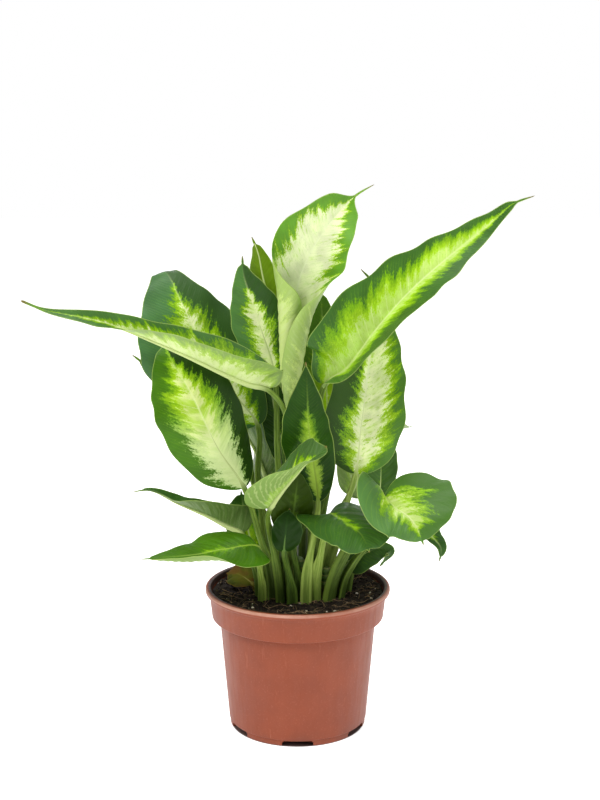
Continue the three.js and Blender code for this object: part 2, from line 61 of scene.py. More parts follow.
# The nodes of a material or world, with short calls: an input is a number, a colour or another node's output
class NodeTree:
    def __init__(self, owner):
        self.owner = owner
        owner.use_nodes = True
        self.tree = owner.node_tree
        self.tree.nodes.clear()

    def add(self, kind, inputs=None, out=0, **settings):
        node = self.tree.nodes.new("ShaderNode" + kind)
        for key, value in settings.items():
            setattr(node, key, value)
        for key, value in (inputs or {}).items():
            if isinstance(value, bpy.types.NodeSocket):
                self.tree.links.new(value, node.inputs[key])
            else:
                node.inputs[key].default_value = value
        return node.outputs[out]

    def finish(self, surface, output="OutputMaterial"):
        node = self.tree.nodes.new("ShaderNode" + output)
        self.tree.links.new(surface, node.inputs[0])
        return self.owner

    def value(self, name):
        return self.add("Attribute", out="Fac", attribute_name=name)

    def place(self):
        return self.add("TexCoord", out="Object")

    def math(self, operation, a, b=0.0, c=0.0):
        return self.add("Math", {0: a, 1: b, 2: c}, operation=operation)

    def plus(self, a, b):
        return self.math("ADD", a, b)

    def times(self, a, b):
        return self.math("MULTIPLY", a, b)

    def timesPlus(self, a, b, c):
        return self.math("MULTIPLY_ADD", a, b, c)

    def between(self, value, low, high, start=0.0, end=1.0):
        ends = {0: value, 1: low, 2: high, 3: start, 4: end}
        return self.add("MapRange", ends, interpolation_type="SMOOTHSTEP")

    def blend(self, share, a, b, mode="MIX"):
        return self.add("Mix", {0: share, 6: a, 7: b}, out=2, data_type="RGBA", blend_type=mode)

    def ramp(self, value, stops):
        node = self.tree.nodes.new("ShaderNodeValToRGB")
        self.tree.links.new(value, node.inputs[0])
        elements = node.color_ramp.elements
        while len(elements) < len(stops):
            elements.new(1.0)
        for element, (place, tint) in zip(elements, stops):
            element.position, element.color = place, tint
        return node.outputs[0]

    def noise(self, place, scale=1.0, detail=2.0, roughness=0.5):
        return self.add("TexNoise", {"Vector": place, "Scale": scale, "Detail": detail, "Roughness": roughness})

    def noiseAt(self, x, y, z, **settings):
        return self.noise(self.add("CombineXYZ", {0: x, 1: y, 2: z}), **settings)

    def bump(self, height, strength, depth):
        return self.add("Bump", {"Strength": strength, "Distance": depth, "Height": height})

    def surface(self, skin, roughness, bump, specular=0.5):
        return self.add("BsdfPrincipled", {
            "Base Color": skin, "Roughness": roughness, "Normal": bump, "Specular IOR Level": specular})


# Light
studio = {
    "backdrop": 1.0, "softLight": 0.42,  # the white room as the camera and the leaves see it
    "reflected": (0.1, 0.62),  # and as gloss sees it, in front of the plant and behind and above it
    "behindAbove": (0, 0.6, 1), "reflectedFrom": (-0.1, 0.7),  # where the one turns into the other
    "aim": (0, 0, 0.18),
    "lights": {  # place, size in metres, power in watts, colour
        "keyLight": ((-0.8, -1.0, 1.4), 0.7, 15, (1.0, 0.985, 0.96)),
        "topLight": ((0.1, -0.25, 1.5), 0.9, 9, (1.0, 1.0, 1.0)),
        "fillLight": ((1.3, -0.9, 0.7), 1.2, 4.5, (0.97, 0.985, 1.0)),
        "rimLight": ((0.3, 1.2, 1.3), 0.8, 9, (1.0, 1.0, 1.0)),
    },
}

sky = NodeTree(bpy.data.worlds.new("studioWorld"))
direction = sky.add("TexCoord", out="Generated")
height = sky.add("VectorMath", {0: direction, 1: studio["behindAbove"]}, out="Value", operation="DOT_PRODUCT")
(lowest, highest), (inFront, behind) = studio["reflectedFrom"], studio["reflected"]
reflected = sky.add("MapRange", {0: height, 1: lowest, 2: highest, 3: inFront, 4: behind})
roomLight = sky.add("Mix", {0: sky.add("LightPath", out="Is Glossy Ray"), 2: studio["softLight"], 3: reflected})
roomLight = sky.add("Mix", {0: sky.add("LightPath", out="Is Camera Ray"), 2: roomLight, 3: studio["backdrop"]})
room = sky.add("Background", {"Color": (1, 1, 1, 1), "Strength": roomLight})
bpy.context.scene.world = sky.finish(room, "OutputWorld")
bpy.context.scene.view_settings.view_transform = "Standard"
bpy.context.scene.view_settings.look = "None"

for name, (place, size, power, tint) in studio["lights"].items():
    lightData = bpy.data.lights.new(name, "AREA")
    lightData.shape = "DISK"
    lightData.size = size
    lightData.energy = power
    lightData.color = tint
    light = bpy.data.objects.new(name, lightData)
    light.location = place
    light.rotation_euler = (Vector(studio["aim"]) - light.location).to_track_quat("-Z", "Y").to_euler()
    bpy.context.collection.objects.link(light)
print("camera and light ready")

# Leaves
# stalk goes from the soil to the blade and blade from there to the tip, in millimetres. face is where the upper
# side looks, from the base to the tip. A half has its width, and how far it folds up and curls, in degrees from the
# base to the tip. halves stands for both. The other values are those of leafForm and leafLook, below.
leaves = {
    "leaf_crown": {
        "stalk": [[-3, -7.5], [-4, -4, 115], [-6, 3, 165]],
        "blade": [[-5.5, 7, 205], [-6, 10, 236], [-3, 11, 270], [3, 8, 297], [13, 4, 317], [24, 3, 332],
            [36, 6, 344], [48, 8, 351]],
        "face": [[0, -1, 0], [0.1, -1, 0.1]],
        "left": {"width": 34, "fold": [20, 20, 20, 10, 0, 0, 0, 0, 20, 30, 30],
            "curl": [340, 340, 340, 310, 220, 110, 10, 0, 0, 0, 0], "roll": 1.2},
        "right": {"width": 33, "fold": [-10, -10, -10, -10, 0, 16, 22, 24, 22, 10, 0],
            "curl": [240, 240, 240, 205, 140, 60, 5, 0, 0, 0, 0]}, "widest": 0.26, "point": 2.05, "taper": 1.15,
        "tail": 0.08, "frill": 0.035,
        "creamTo": 0.64, "greenTo": 0.78, "tip": 0.98, "margin": "#5a921a", "cream": "#dde5b6", "midrib": "#e6efc4",
        "base": "#d8ea8c", "under": "#d2e888", "underCover": 0.6, "limePatches": 0.12, "petiole": "petioleLight",
    },
    "leaf_crown_back": {
        "stalk": [[2, 8], [3, 12, 115], [4, 20, 180]],
        "blade": [[-8, 21, 235], [-17, 20, 271], [-22, 19, 291], [-25, 17, 307], [-29, 13, 318]],
        "face": [[0.1, 1, 0]], "halves": {"width": 13, "fold": [10], "curl": [20]}, "wave": 0.5,
        "creamTo": -0.6, "greenTo": 1.3, "midGreen": "#5e8000", "yellowGreen": "#769600", "midrib": "#8fae48",
        "under": "#688a10", "underCover": 0.9, "gloss": 0.15,
    },
    "leaf_centre_left": {
        "stalk": [[-8.5, 3], [-10, 6, 115], [-13, 10, 180]],
        "blade": [[-15, 13, 229], [-24, 13, 261], [-30, 13, 280], [-34, 13, 293], [-35, 13, 306]],
        "face": [[-0.1, -1, 0.1]], "left": {"width": 18, "fold": [20, 10], "curl": [10]},
        "right": {"width": 18, "fold": [-15, 0], "curl": [-10, 0]}, "point": 1.6, "wave": 0.8,
        "creamTo": 0.33, "greenTo": 0.52, "tip": 0.8, "margin": "#4a7834", "darkSide": ("right", "#274a0e"),
        "gloss": 0.28, "rightShift": 0.1,
    },
    "leaf_upper_left": {
        "stalk": [[-19, 6], [-20, 9, 110], [-26, 15, 160]],
        "blade": [[-26, 18, 195], [-41, 18, 216], [-65, 17, 256], [-74, 18, 275], [-84, 27, 293], [-91, 43, 290]],
        "face": [[0.1, -1, 0.3], [0.1, -0.6, 1]], "left": {"width": 41, "curl": [-20]},
        "right": {"width": 31, "curl": [-20]}, "lobe": 0.2, "widest": 0.43, "point": 1.3,
        "creamTo": 0.2, "greenTo": 0.46, "tip": 0.85, "margin": "#44703c", "darkSide": ("right", "#2f5218"),
    },
    "leaf_far_left": {
        "stalk": [[-13, 11], [-16, 15, 110], [-28, 28, 150]],
        "blade": [[-40, 38, 183], [-72, 46, 210], [-97, 43, 228], [-109, 39, 238]],
        "face": [[0.1, -1, 0.4]], "halves": {"width": 18, "fold": [10]}, "widest": 0.3, "point": 1.2,
        "creamTo": 0.5, "greenTo": 0.9,
    },
    "leaf_long_left": {
        "stalk": [[-9.5, -5.5], [-9, -10, 115], [-4, -14, 175], [-8, -16, 212]],
        "blade": [[-18, -16, 226], [-32, -20, 231], [-66, -31, 249], [-85, -34, 258], [-112, -36, 269],
            [-131, -36, 274], [-152, -36, 278], [-167, -36, 284]],
        "face": [[0, 0.1, 1], [0, -0.1, 1], [0, -0.2, 1], [0, -1, 0.6], [0, -1, 0.6]],
        "left": {"width": 20, "lobe": 1.2, "fold": [60, 50, 50, 20, 0], "curl": [10, 10, 0, 0, 0]},
        "right": {"width": 21, "fold": [70, 70, 70, 20, 0]}, "lobe": 0.7, "widest": 0.18, "point": 1, "taper": 1.25,
        "tail": 0.01,
        "creamTo": 0.5, "greenTo": 0.8, "tip": 0.75, "margin": "#44702c", "under": "#b4cc74", "underCover": 0.45,
    },
    "leaf_middle_left": {
        "stalk": [[-16.5, -10.5], [-18, -10, 105], [-26, -10, 135]],
        "blade": [[-34, -8, 160], [-50, -14, 187], [-66, -16, 222], [-78, -12, 242], [-87, -4, 257]],
        "face": [[0.1, -1, 0.3]], "left": {"width": 28, "curl": [-10]}, "right": {"width": 26, "curl": [-10]},
        "widest": 0.42,
        "creamTo": 0.34, "greenTo": 0.68, "tip": 0.9, "cream": "#d4e08e", "margin": "#3f7000",
        "darkSide": ("right", "#152f02"), "base": "#dcebac", "gloss": 0.24, "limePatches": 0.8, "rightShift": 0.14,
    },
    "leaf_centre_dark": {
        "stalk": [[-5, 10], [-6, 13, 115], [-8, 19, 140]],
        "blade": [[-9, 27, 165], [-12, 29, 187], [-16, 30, 208], [-19, 30, 228]],
        "face": [[0, -1, 0.1]], "left": {"width": 10}, "right": {"width": 14}, "wave": 0.5,
        "feather": 0.6, "creamTo": -0.4, "greenTo": 0.0, "margin": "#24440f", "gloss": 0.16,
        "petiole": "petioleDark",
    },
    "leaf_big_right": {
        "stalk": [[9, -2], [10, -3, 115], [12, -9, 175]],
        "blade": [[17, -14, 228], [30, -18, 239], [49, -17, 264], [68, -12, 285], [87, -8, 302],
            [119, 0, 327], [134, 4, 339], [148, 7, 344]],
        "face": [[0.1, -1, 0.3], [-0.1, -1, 0.4], [0, -1, 0.4]],
        "left": {"width": 33, "fold": [10, 10, 0], "curl": [20, 0, 0]},
        "right": {"width": 27, "fold": [80, 70, 40, 10, 0, 0], "curl": [10, 10, 0]}, "lobe": 0.3, "widest": 0.2,
        "point": 1, "taper": 1.15, "frill": 0.05,
        "feather": 0.8, "creamTo": 0.36, "greenTo": 0.68, "tip": 0.95, "margin": "#3a661e", "cream": "#b8d66a",
        "yellowGreen": "#9ecb12", "rightShift": 0.2, "gloss": 0.28, "limePatches": 0.3,
    },
    "leaf_behind_right": {
        "stalk": [[9, 6], [11, 8, 110], [17, 13, 140]],
        "blade": [[22, 18, 171], [19, 22, 212], [17, 26, 251], [14, 26, 288]],
        "face": [[0, -1, 0]], "halves": {"width": 18, "fold": [10]}, "wave": 0.5,
        "creamTo": -0.1, "greenTo": 0.6, "midGreen": "#6d9322", "margin": "#4d7420", "gloss": 0.2,
        "petiole": "petioleDark",
    },
    "leaf_centre_front": {
        "stalk": [[5, -15.5], [6, -16, 105], [10, -17, 130]],
        "blade": [[13, -15, 153], [10, -17, 179], [7, -19, 201], [6, -21, 226], [5, -22, 244]],
        "face": [[0, -1, 0.1]], "left": {"width": 18, "fold": [0, 10], "curl": [0, 10]},
        "right": {"width": 15, "fold": [10, 20], "curl": [10]}, "lobe": 0.2, "tail": 0.02,
        "feather": 0.7, "creamTo": 0.12, "greenTo": 0.34, "tip": 0.8, "margin": "#234708", "midGreen": "#4a7618",
        "yellowGreen": "#7ea61a", "cream": "#a6c640", "base": "#b2d24a", "gloss": 0.16, "midrib": "#86a63c",
        "petiole": "petioleLime",
    },
    "leaf_middle_right": {
        "stalk": [[17, 6], [18, 5, 102], [28, 0, 137]],
        "blade": [[37, -3, 168], [40, -4, 197], [44, 0, 229], [47, 8, 260], [48, 15, 287], [40, 19, 297]],
        "face": [[0.1, -1, 0.1], [0.1, -1, 0.3]], "left": {"width": 24, "fold": [10]}, "right": {"width": 27},
        "lobe": 0.2, "widest": 0.23, "point": 1.7, "frill": 0.035, "wing": 3, "wingEnd": (0.55, 0.8),
        "creamTo": 0.22, "greenTo": 0.5, "tip": 0.95, "rightShift": -0.3, "margin": "#4c7826",
        "darkSide": ("left", "#2a4a04"), "gloss": 0.24, "leftShift": 0.35, "limePatches": 0.3, "midrib": "#e4eec0",
        "petiole": "petioleLight",
    },
    "leaf_front_folded": {
        "stalk": [[-9.5, -13], [-12, -15, 105], [-18, -21, 136]],
        "blade": [[-18, -32, 153], [-10, -37, 166], [-1, -40, 177], [5, -41, 184], [11, -42, 189], [18, -41, 195]],
        "face": [[-0.8, 0.1, 0.7], [-0.6, -0.35, 0.7], [-0.3, -0.7, 0.6]],
        "left": {"width": 21, "fold": [30, 0, -10]}, "right": {"width": 26, "fold": [58, 42, 38]}, "lobe": 0.3,
        "widest": 0.26, "point": 4, "tail": 0.01, "wave": 0.6,
        "creamTo": 0.3, "greenTo": 0.5, "tip": 0.85, "margin": "#486a32", "cream": "#a8cc50", "under": "#a0c264",
        "rightShift": 0.3, "ribs": 0.4,
    },
    "leaf_low_left_back": {
        "stalk": [[-25, -2], [-26, -2, 97], [-30, -3, 114]],
        "blade": [[-35, -4, 129], [-46, -8, 136], [-57, -12, 143], [-76, -15, 152], [-93, -18, 161],
            [-104, -18, 160]],
        "face": [[0, 0.1, 1], [0, -0.2, 1], [0, -0.6, 1]], "left": {"width": 17, "fold": [95, 60, 35, 25]},
        "right": {"width": 13, "fold": [60, 40, 20, 10]}, "lobe": 0.4, "widest": 0.15, "point": 1, "taper": 1,
        "wave": 0.8,
        "feather": 0.6, "creamTo": -0.4, "greenTo": 0.0, "under": "#748f48",
    },
    "leaf_low_left_front": {
        "stalk": [[-23.5, -9.5], [-23, -13, 97], [-24, -19, 113]],
        "blade": [[-25, -24, 126], [-45, -36, 128], [-62, -44, 127], [-81, -50, 127], [-96, -54, 127]],
        "face": [[0, -0.5, 1], [0, -0.4, 1]],
        "left": {"width": 25, "fold": [0, 10, 10, 0, 0], "curl": [-20, 0, 130, 150, 60], "roll": 3},
        "right": {"width": 20, "curl": [-20, 0]}, "lobe": 0.5, "widest": 0.26, "point": 1.1, "taper": 1.1,
        "creamTo": -0.3, "greenTo": 0.1, "tip": 0.7, "margin": "#447408", "gloss": 0.26, "midrib": "#a8c858",
        "petiole": "petioleLime",
    },
    "leaf_low_right": {
        "stalk": [[19.5, -11], [25, -12, 103], [42, -12, 138], [50, -16, 155]],
        "blade": [[54, -25, 157], [61, -35, 154], [68, -43, 151], [73, -50, 146], [77, -54, 136]],
        "face": [[0, -0.6, 1], [0, -0.7, 1], [0, -0.9, 0.5]],
        "left": {"width": 37, "lobe": 1, "fold": [20, 10, 0, -10], "curl": [0, -20]},
        "right": {"width": 29, "lobe": 2.2, "fold": [115, 30, 20, 0], "curl": [-30, -20]}, "round": 0.5,
        "widest": 0.33, "point": 1.35, "wing": 3.8, "wingEnd": (0.6, 0.9),
        "creamTo": 0.22, "greenTo": 0.48, "tip": 0.95, "margin": "#4f7a36", "cream": "#c8dc80",
        "darkSide": ("left", "#456f22"), "gloss": 0.28, "yellowGreen": "#a0cc1c",
    },
    "leaf_low_right_under": {
        "stalk": [[26.5, -7], [31, -6, 100], [50, -4, 127]],
        "blade": [[66, -9, 143], [78, -18, 138], [85, -24, 132], [90, -28, 126], [89, -30, 118]],
        "face": [[0.3, -0.6, 0.8], [0.5, -0.8, 0.3]], "left": {"width": 8}, "right": {"width": 5}, "lobe": 0.2,
        "widest": 0.45, "wave": 0.6,
        "creamTo": 0.0, "greenTo": 0.4,
    },
    "leaf_front_right": {
        "stalk": [[12, -12], [13, -16, 105], [17, -21, 134]],
        "blade": [[20, -26, 148], [31, -39, 145], [39, -49, 141], [44, -56, 132]],
        "face": [[0, -0.1, 1], [0, -0.15, 1], [0.2, -0.6, 0.7]],
        "left": {"width": 24, "fold": [10, 0], "curl": [-10, -20]},
        "right": {"width": 26, "lobe": 2.2, "fold": [0, 10, 10], "curl": [-20, -10]}, "lobe": 1.3, "round": 0.6,
        "widest": 0.36, "point": 2.2, "taper": 1, "wave": 0.8, "wing": 3,
        "feather": 0.6, "creamTo": -0.05, "greenTo": 0.16, "tip": 0.8, "margin": "#3c6524", "cream": "#9cc440",
        "rightShift": 0.45, "midrib": "#8fb040", "gloss": 0.28, "petiole": "petioleLime",
    },
    "leaf_front_small": {
        "stalk": [[-3, -15], [-4, -18, 98], [-7, -21, 113]],
        "blade": [[-8.5, -25, 123], [-7.5, -27.5, 136], [-6.5, -27, 145], [-5, -24.5, 151]],
        "face": [[0, -1, 0.1]], "left": {"width": 9, "curl": [-10]}, "right": {"width": 10.5, "curl": [-10]},
        "lobe": 0.3, "wave": 0.4,
        "feather": 0.6, "creamTo": -0.5, "greenTo": -0.2, "margin": "#1c3a06", "midrib": "#2c5214", "gloss": 0.14,
        "edge": "#54743a", "yellowGreen": "#2c4a12", "midGreen": "#24440c", "petiole": "petioleDark",
    },
    "leaf_right_dark": {
        "stalk": [[22.5, 9.5], [26, 9, 93]],
        "blade": [[33, 6, 106], [43, 2, 113], [54, -2, 118], [60, -4, 117], [53, -6, 107]],
        "face": [[0, -0.8, 0.6], [0.6, -0.8, 0.2]], "left": {"width": 9, "fold": [10]},
        "right": {"width": 12, "fold": [10]}, "lobe": 0.4, "widest": 0.2, "point": 1.1, "wave": 0.6,
        "feather": 0.6, "creamTo": -0.5, "greenTo": -0.1, "margin": "#3d5f2a", "under": "#7c9560",
        "midrib": "#4b7030",
    },
    "leaf_right_grey": {
        "stalk": [[29.5, 3], [34, 10, 100], [46, 20, 127]],
        "blade": [[53, 24, 143], [55, 28, 162], [54, 32, 182], [49, 36, 196]],
        "face": [[0, -1, 0], [0, -1, 0.2]], "left": {"width": 12, "fold": [10]},
        "right": {"width": 11, "fold": [10]}, "lobe": 0.2, "wave": 0.6,
        "feather": 0.6, "creamTo": -0.4, "greenTo": 0.0, "margin": "#44682c", "midrib": "#5e8040",
    },
    "leaf_old": {
        "stalk": [[-26, 6], [-28, 5, 90]], "blade": [[-30, 4, 92.5], [-35, 7, 95.5], [-41, 11, 97], [-47, 14, 96]],
        "face": [[0.1, -0.65, 0.8]], "halves": {"width": 10.5, "fold": [10, 0], "curl": [0, -20]}, "lobe": 0.2,
        "wave": 0.8,
        "creamTo": -0.4, "greenTo": 0.7, "yellowGreen": "#6c6a1e", "midGreen": "#545a16", "margin": "#464c16",
        "under": "#5a5822", "edge": "#7a5a2a", "midrib": "#7c7430", "age": 0.8, "gloss": 0.08, "roughness": 0.6,
        "witheredBrown": "#6b4a20", "petiole": "petioleOld",
    },
    "leaf_centre_olive": {
        "stalk": [[4, -8.5], [0, -13, 105]], "blade": [[-4, -19, 130], [-2, -21, 152], [1, -21, 176]],
        "face": [[0, -1, 0]], "left": {"width": 15, "fold": [10]}, "right": {"width": 12}, "wave": 0.4,
        "creamTo": -0.4, "greenTo": 0.1, "margin": "#354d04", "midGreen": "#43600c", "gloss": 0.12,
        "under": "#43600c", "midrib": "#6a8830", "edge": "#54702a", "yellowGreen": "#55741a",
        "petiole": "petioleDark",
    },
    "leaf_back_left": {
        "stalk": [[-9, 18], [-12, 24, 110]],
        "blade": [[-18, 36, 145], [-28, 52, 170], [-42, 72, 186], [-56, 92, 186]],
        "face": [[0.2, 1, 0.5], [-0.2, 0.2, 1]], "halves": {"width": 22, "fold": [10]}, "lobe": 0.3,
        "creamTo": 0.35, "greenTo": 0.6, "under": "#43631e", "underCover": 0.88,
    },
    "leaf_back": {
        "stalk": [[0, 15.5], [2, 20, 115], [4, 28, 150]],
        "blade": [[6, 36, 178], [10, 48, 210], [14, 66, 236], [18, 90, 250]],
        "face": [[0, 1, 0.4], [0, 0.3, 1]], "halves": {"width": 26, "fold": [10]}, "lobe": 0.2,
        "creamTo": 0.45, "greenTo": 0.65,
    },
    "leaf_back_right": {
        "stalk": [[9, 14], [16, 21, 110]], "blade": [[34, 38, 143], [48, 54, 166], [63, 68, 179], [80, 84, 180]],
        "face": [[0.2, 1, 0.6], [0.2, 0.2, 1]], "halves": {"width": 20, "fold": [10]}, "lobe": 0.3,
        "creamTo": 0.3, "greenTo": 0.55,
    },
    "leaf_low_back": {
        "stalk": [[17, 13], [22, 18, 106]], "blade": [[32, 30, 121], [43, 44, 130], [54, 60, 128], [61, 75, 114]],
        "face": [[0, 0.6, 1], [0.2, 0.6, 0.8]], "halves": {"width": 20, "curl": [-10]}, "lobe": 0.6, "wave": 0.8,
        "creamTo": -0.05, "greenTo": 0.4,
    },
    "leaf_low_back_left": {
        "stalk": [[-17, 15], [-23, 20, 98]],
        "blade": [[-29, 25, 107], [-33, 28, 121], [-36, 32, 134], [-38, 38, 146]],
        "face": [[0.2, -1, 0.5], [0.2, -1, 0.8]], "halves": {"width": 15, "fold": [10]}, "lobe": 0.3, "wave": 0.8,
        "creamTo": -0.1, "greenTo": 0.35,
    },
    "leaf_inner_back": {
        "stalk": [[4, 23], [6, 28, 97]], "blade": [[6, 33, 110], [5, 37, 126], [4, 43, 140], [4, 50, 152]],
        "face": [[0, -1, 0.5], [0, -1, 0.8]], "halves": {"width": 14, "fold": [10]}, "lobe": 0.3, "wave": 0.8,
        "creamTo": -0.3, "greenTo": 0.2, "margin": "#28501a",
    },
}

# What every leaf has unless leaves says otherwise, and what every half has. Lengths in millimetres.
leafForm = {
    "soilTop": 86.5, "rootDepth": 12,
    "widest": 0.36, "point": 1.9, "taper": 1.25, "shoulder": 0.6,  # the outline, from the base to the tip
    "lobe": 0.1, "lobeEnd": 0.45, "veinSweep": 0.4,  # how far the margin runs behind the midrib, and ahead
    "tail": 0.05, "tailWidth": 0.8,
    "wave": 1, "waveCount": 2.5, "marginWave": 0.35, "frill": 0.02, "frillCount": 6.3,
    "thickness": 0.5, "marginThickness": 0.22, "marginBevel": 3,
    "rows": 84, "halfColumns": 20, "marginColumns": (0.965, 0.988), "curlSteps": 16,
    "pleatHeight": 0.24, "pleatSpacing": 5.6, "veinSlant": 0.55, "grooveDepth": 0.2, "grooveWidth": 1.1,
    "stalkFoot": 2.9, "stalkTop": 1.8, "ribTip": 0.3, "ribEnd": 0.94,
    "stalkSides": 24, "stalkRows": 46, "ribRows": 34,
    "wing": 1.7, "wingStart": 0.12, "wingEnd": (0.4, 0.62), "wingAngle": 1.0, "wingWidth": 0.3,
    "channel": 0.42, "channelWidth": 0.55, "sink": (0.4, 0.45),
}
halfForm = {"fold": [0], "curl": [0], "roll": 1}
leafColours = {
    "cream": "#e3ecb4", "yellowGreen": "#a2cb12", "midGreen": "#629600", "margin": "#2f5d0e",
    "under": "#9db56a", "edge": "#a9c260", "midrib": "#dde9a6", "tipBrown": "#7b6636",
}
# creamTo, greenTo: how far the pale centre and the mid-green reach, as shares of the half's width. feather: how far
# the colours run along the side veins. tip: where the pale centre ends. leftShift, rightShift: how much less they
# reach on that half. darkSide: the half that lies in shade, and its colour. base: the colour near the petiole.
leafLook = {
    "feather": 1.0, "tip": 0.82, "limePatches": 0.4, "underCover": 0.62, "ribs": 0.1, "veins": 0.09, "flecks": 0.45,
    "shade": (0.9, 1.16), "gloss": 0.3, "roughness": 0.36, "bump": 0.55, "bumpDepth": 0.0004, "lightThrough": 0.12,
    "petiole": "petioleMid",
}


def wholeLeaf(ownValues):
    leaf = {**leafForm, **leafColours, **leafLook, **ownValues}
    for side in ("left", "right"):
        leaf[side] = {**halfForm, "lobe": leaf["lobe"], **ownValues.get(side, ownValues.get("halves", {}))}
    return leaf


def smoothStep(value, low, high):
    share = np.clip((value - low) / (high - low), 0, 1)
    return share * share * (3 - 2 * share)


def unit(vectors):
    return vectors / np.maximum(np.linalg.norm(vectors, axis=-1, keepdims=True), 1e-9)


# The values spread evenly from the base to the tip, with their corners eased
def mix(values, share):
    places = np.linspace(0, 1, len(values))
    return np.mean([np.interp(share + shift, places, values) for shift in (-0.07, -0.035, 0, 0.035, 0.07)], axis=0)


# The midrib's path from the foot in the soil to the tip, as functions of the share of its length
def pathOf(leaf):
    foot = [*leaf["stalk"][0], leaf["soilTop"] - leaf["rootDepth"]]
    points = np.array([foot, *leaf["stalk"][1:], *leaf["blade"]], float)
    padded = np.vstack([2 * points[0] - points[1], points, 2 * points[-1] - points[-2]])
    spans = len(points) - 1
    stepsEach, step = 40, 1e-4

    def curveAt(t):
        place = np.clip(t, 0, 1) * spans
        k = np.minimum(place.astype(int), spans - 1)
        w = (place - k)[:, None]
        p0, p1, p2, p3 = (padded[k + j] for j in range(4))
        d0, d1, d2 = (np.sqrt(np.linalg.norm(b - a, axis=1))[:, None] for a, b in ((p0, p1), (p1, p2), (p2, p3)))
        t1 = ((p1 - p0) / d0 - (p2 - p0) / (d0 + d1) + (p2 - p1) / d1) * d1
        t2 = ((p2 - p1) / d1 - (p3 - p1) / (d1 + d2) + (p3 - p2) / d2) * d1
        return p1 + t1 * w + (3 * (p2 - p1) - 2 * t1 - t2) * w**2 + (2 * (p1 - p2) + t1 + t2) * w**3

    marks = np.linspace(0, 1, stepsEach * spans + 1)
    lengths = np.concatenate([[0], np.cumsum(np.linalg.norm(np.diff(curveAt(marks), axis=0), axis=1))])

    def pointAt(share):
        return curveAt(np.interp(share * lengths[-1], lengths, marks))

    def alongAt(share):
        t = np.interp(share * lengths[-1], lengths, marks)
        return unit(curveAt(np.minimum(t + step, 1)) - curveAt(np.maximum(t - step, 0)))

    return {"pointAt": pointAt, "alongAt": alongAt, "baseAt": lengths[stepsEach * len(leaf["stalk"])] / lengths[-1],
            "length": lengths[-1]}


def framesAt(leaf, path, u):
    share = path["baseAt"] + (1 - path["baseAt"]) * u
    centre, along = path["pointAt"](share), path["alongAt"](share)
    up = np.stack([mix([f[k] for f in leaf["face"]], u) for k in range(3)], axis=1)
    up = unit(up - along * np.sum(up * along, axis=1, keepdims=True))
    return centre, along, up, np.cross(along, up)


def outlineAt(leaf, u):
    base = np.sin(np.pi / 2 * np.clip(u / leaf["widest"], 0, 1)) ** leaf["shoulder"]
    beyond = np.clip((u - leaf["widest"]) / (1 - leaf["widest"]), 0, 1) ** leaf["point"]
    outline = np.where(u < leaf["widest"], base, (1 - beyond) ** leaf["taper"])
    tail = leaf["tail"]
    outline = outline * (1 - smoothStep(u, 1 - 2.2 * tail, 1 - 0.8 * tail))
    return np.maximum(outline, leaf["tailWidth"] / leaf["left"]["width"] * np.clip((1 - u) / tail, 0, 1) ** 0.6)


# The blade's middle surface on a grid of rows (base to tip) and columns (left margin -1 to right margin 1)
def bladeGrid(leaf, path, rows, columns):
    centre, along, up, across = (v[:, None, :] for v in framesAt(leaf, path, rows))
    outline = outlineAt(leaf, rows)[:, None]
    share = np.abs(columns)[None, :]
    outward = np.zeros((len(rows), len(columns)))
    upward, reach = outward.copy(), outward.copy()
    steps = (np.arange(leaf["curlSteps"]) + 0.5) / leaf["curlSteps"]
    for half, side in ((leaf["left"], columns < 0), (leaf["right"], columns >= 0)):
        fold = np.radians(mix(half["fold"], rows))[:, None, None]
        curl = np.radians(mix(half["curl"], rows))[:, None, None]
        angle = fold + curl * (share[:, side, None] * steps) ** half["roll"]
        frill = np.sin(2 * np.pi * leaf["frillCount"] * rows + 4.1 * half["width"])[:, None] * share[:, side] ** 3
        reach[:, side] = half["width"] * outline
        width = reach[:, side] * share[:, side] * (1 + leaf["frill"] * frill)
        outward[:, side] = np.cos(angle).mean(axis=2) * width
        upward[:, side] = np.sin(angle).mean(axis=2) * width
    lobe = np.where(columns < 0, leaf["left"]["lobe"], leaf["right"]["lobe"])[None, :]
    forward = smoothStep(rows, 0, leaf["lobeEnd"])
    if "round" in leaf:
        forward = np.clip(rows / leaf["lobeEnd"], 0, 1) ** leaf["round"]
    spread = -lobe + (leaf["veinSweep"] + lobe) * forward[:, None]
    phase = np.where(columns < 0, 0.3, 1.1)[None, :]
    ripple = leaf["wave"] * share**2 * np.sin(np.pi * (2 * leaf["waveCount"] * rows[:, None] + phase)) * outline
    points = (centre + across * (np.sign(columns)[None, :] * outward)[..., None]
              + up * (upward + ripple)[..., None]
              + along * (spread * reach * share**1.5)[..., None])
    normals = np.cross(np.gradient(points, columns, axis=1), np.gradient(points, rows, axis=0))
    return points, unit(normals), reach * share, reach * (1 - share)


# A closed skin through rings of points, with one point at each end
def loft(first, rings, last):
    count, size = len(rings), len(rings[0])
    k = np.arange(size)
    after = (k + 1) % size
    end = 1 + count * size
    faces = [(0, 1 + b, 1 + a) for a, b in zip(k, after)]
    for low in range(1, end - size, size):
        faces += list(zip(low + k, low + after, low + size + after, low + size + k))
    faces += [(end - size + a, end - size + b, end) for a, b in zip(k, after)]
    return np.vstack([first[None], np.reshape(rings, (-1, 3)), last[None]]), faces


# A value for each point of such a skin
def onSkin(first, values, shape, last):
    return np.concatenate([[first], np.broadcast_to(values, shape).ravel(), [last]])


def joined(parts):
    faces, start = [], 0
    for partVerts, partFaces in parts:
        faces += [[start + int(i) for i in face] for face in partFaces]
        start += len(partVerts)
    return np.vstack([partVerts for partVerts, _ in parts]), faces


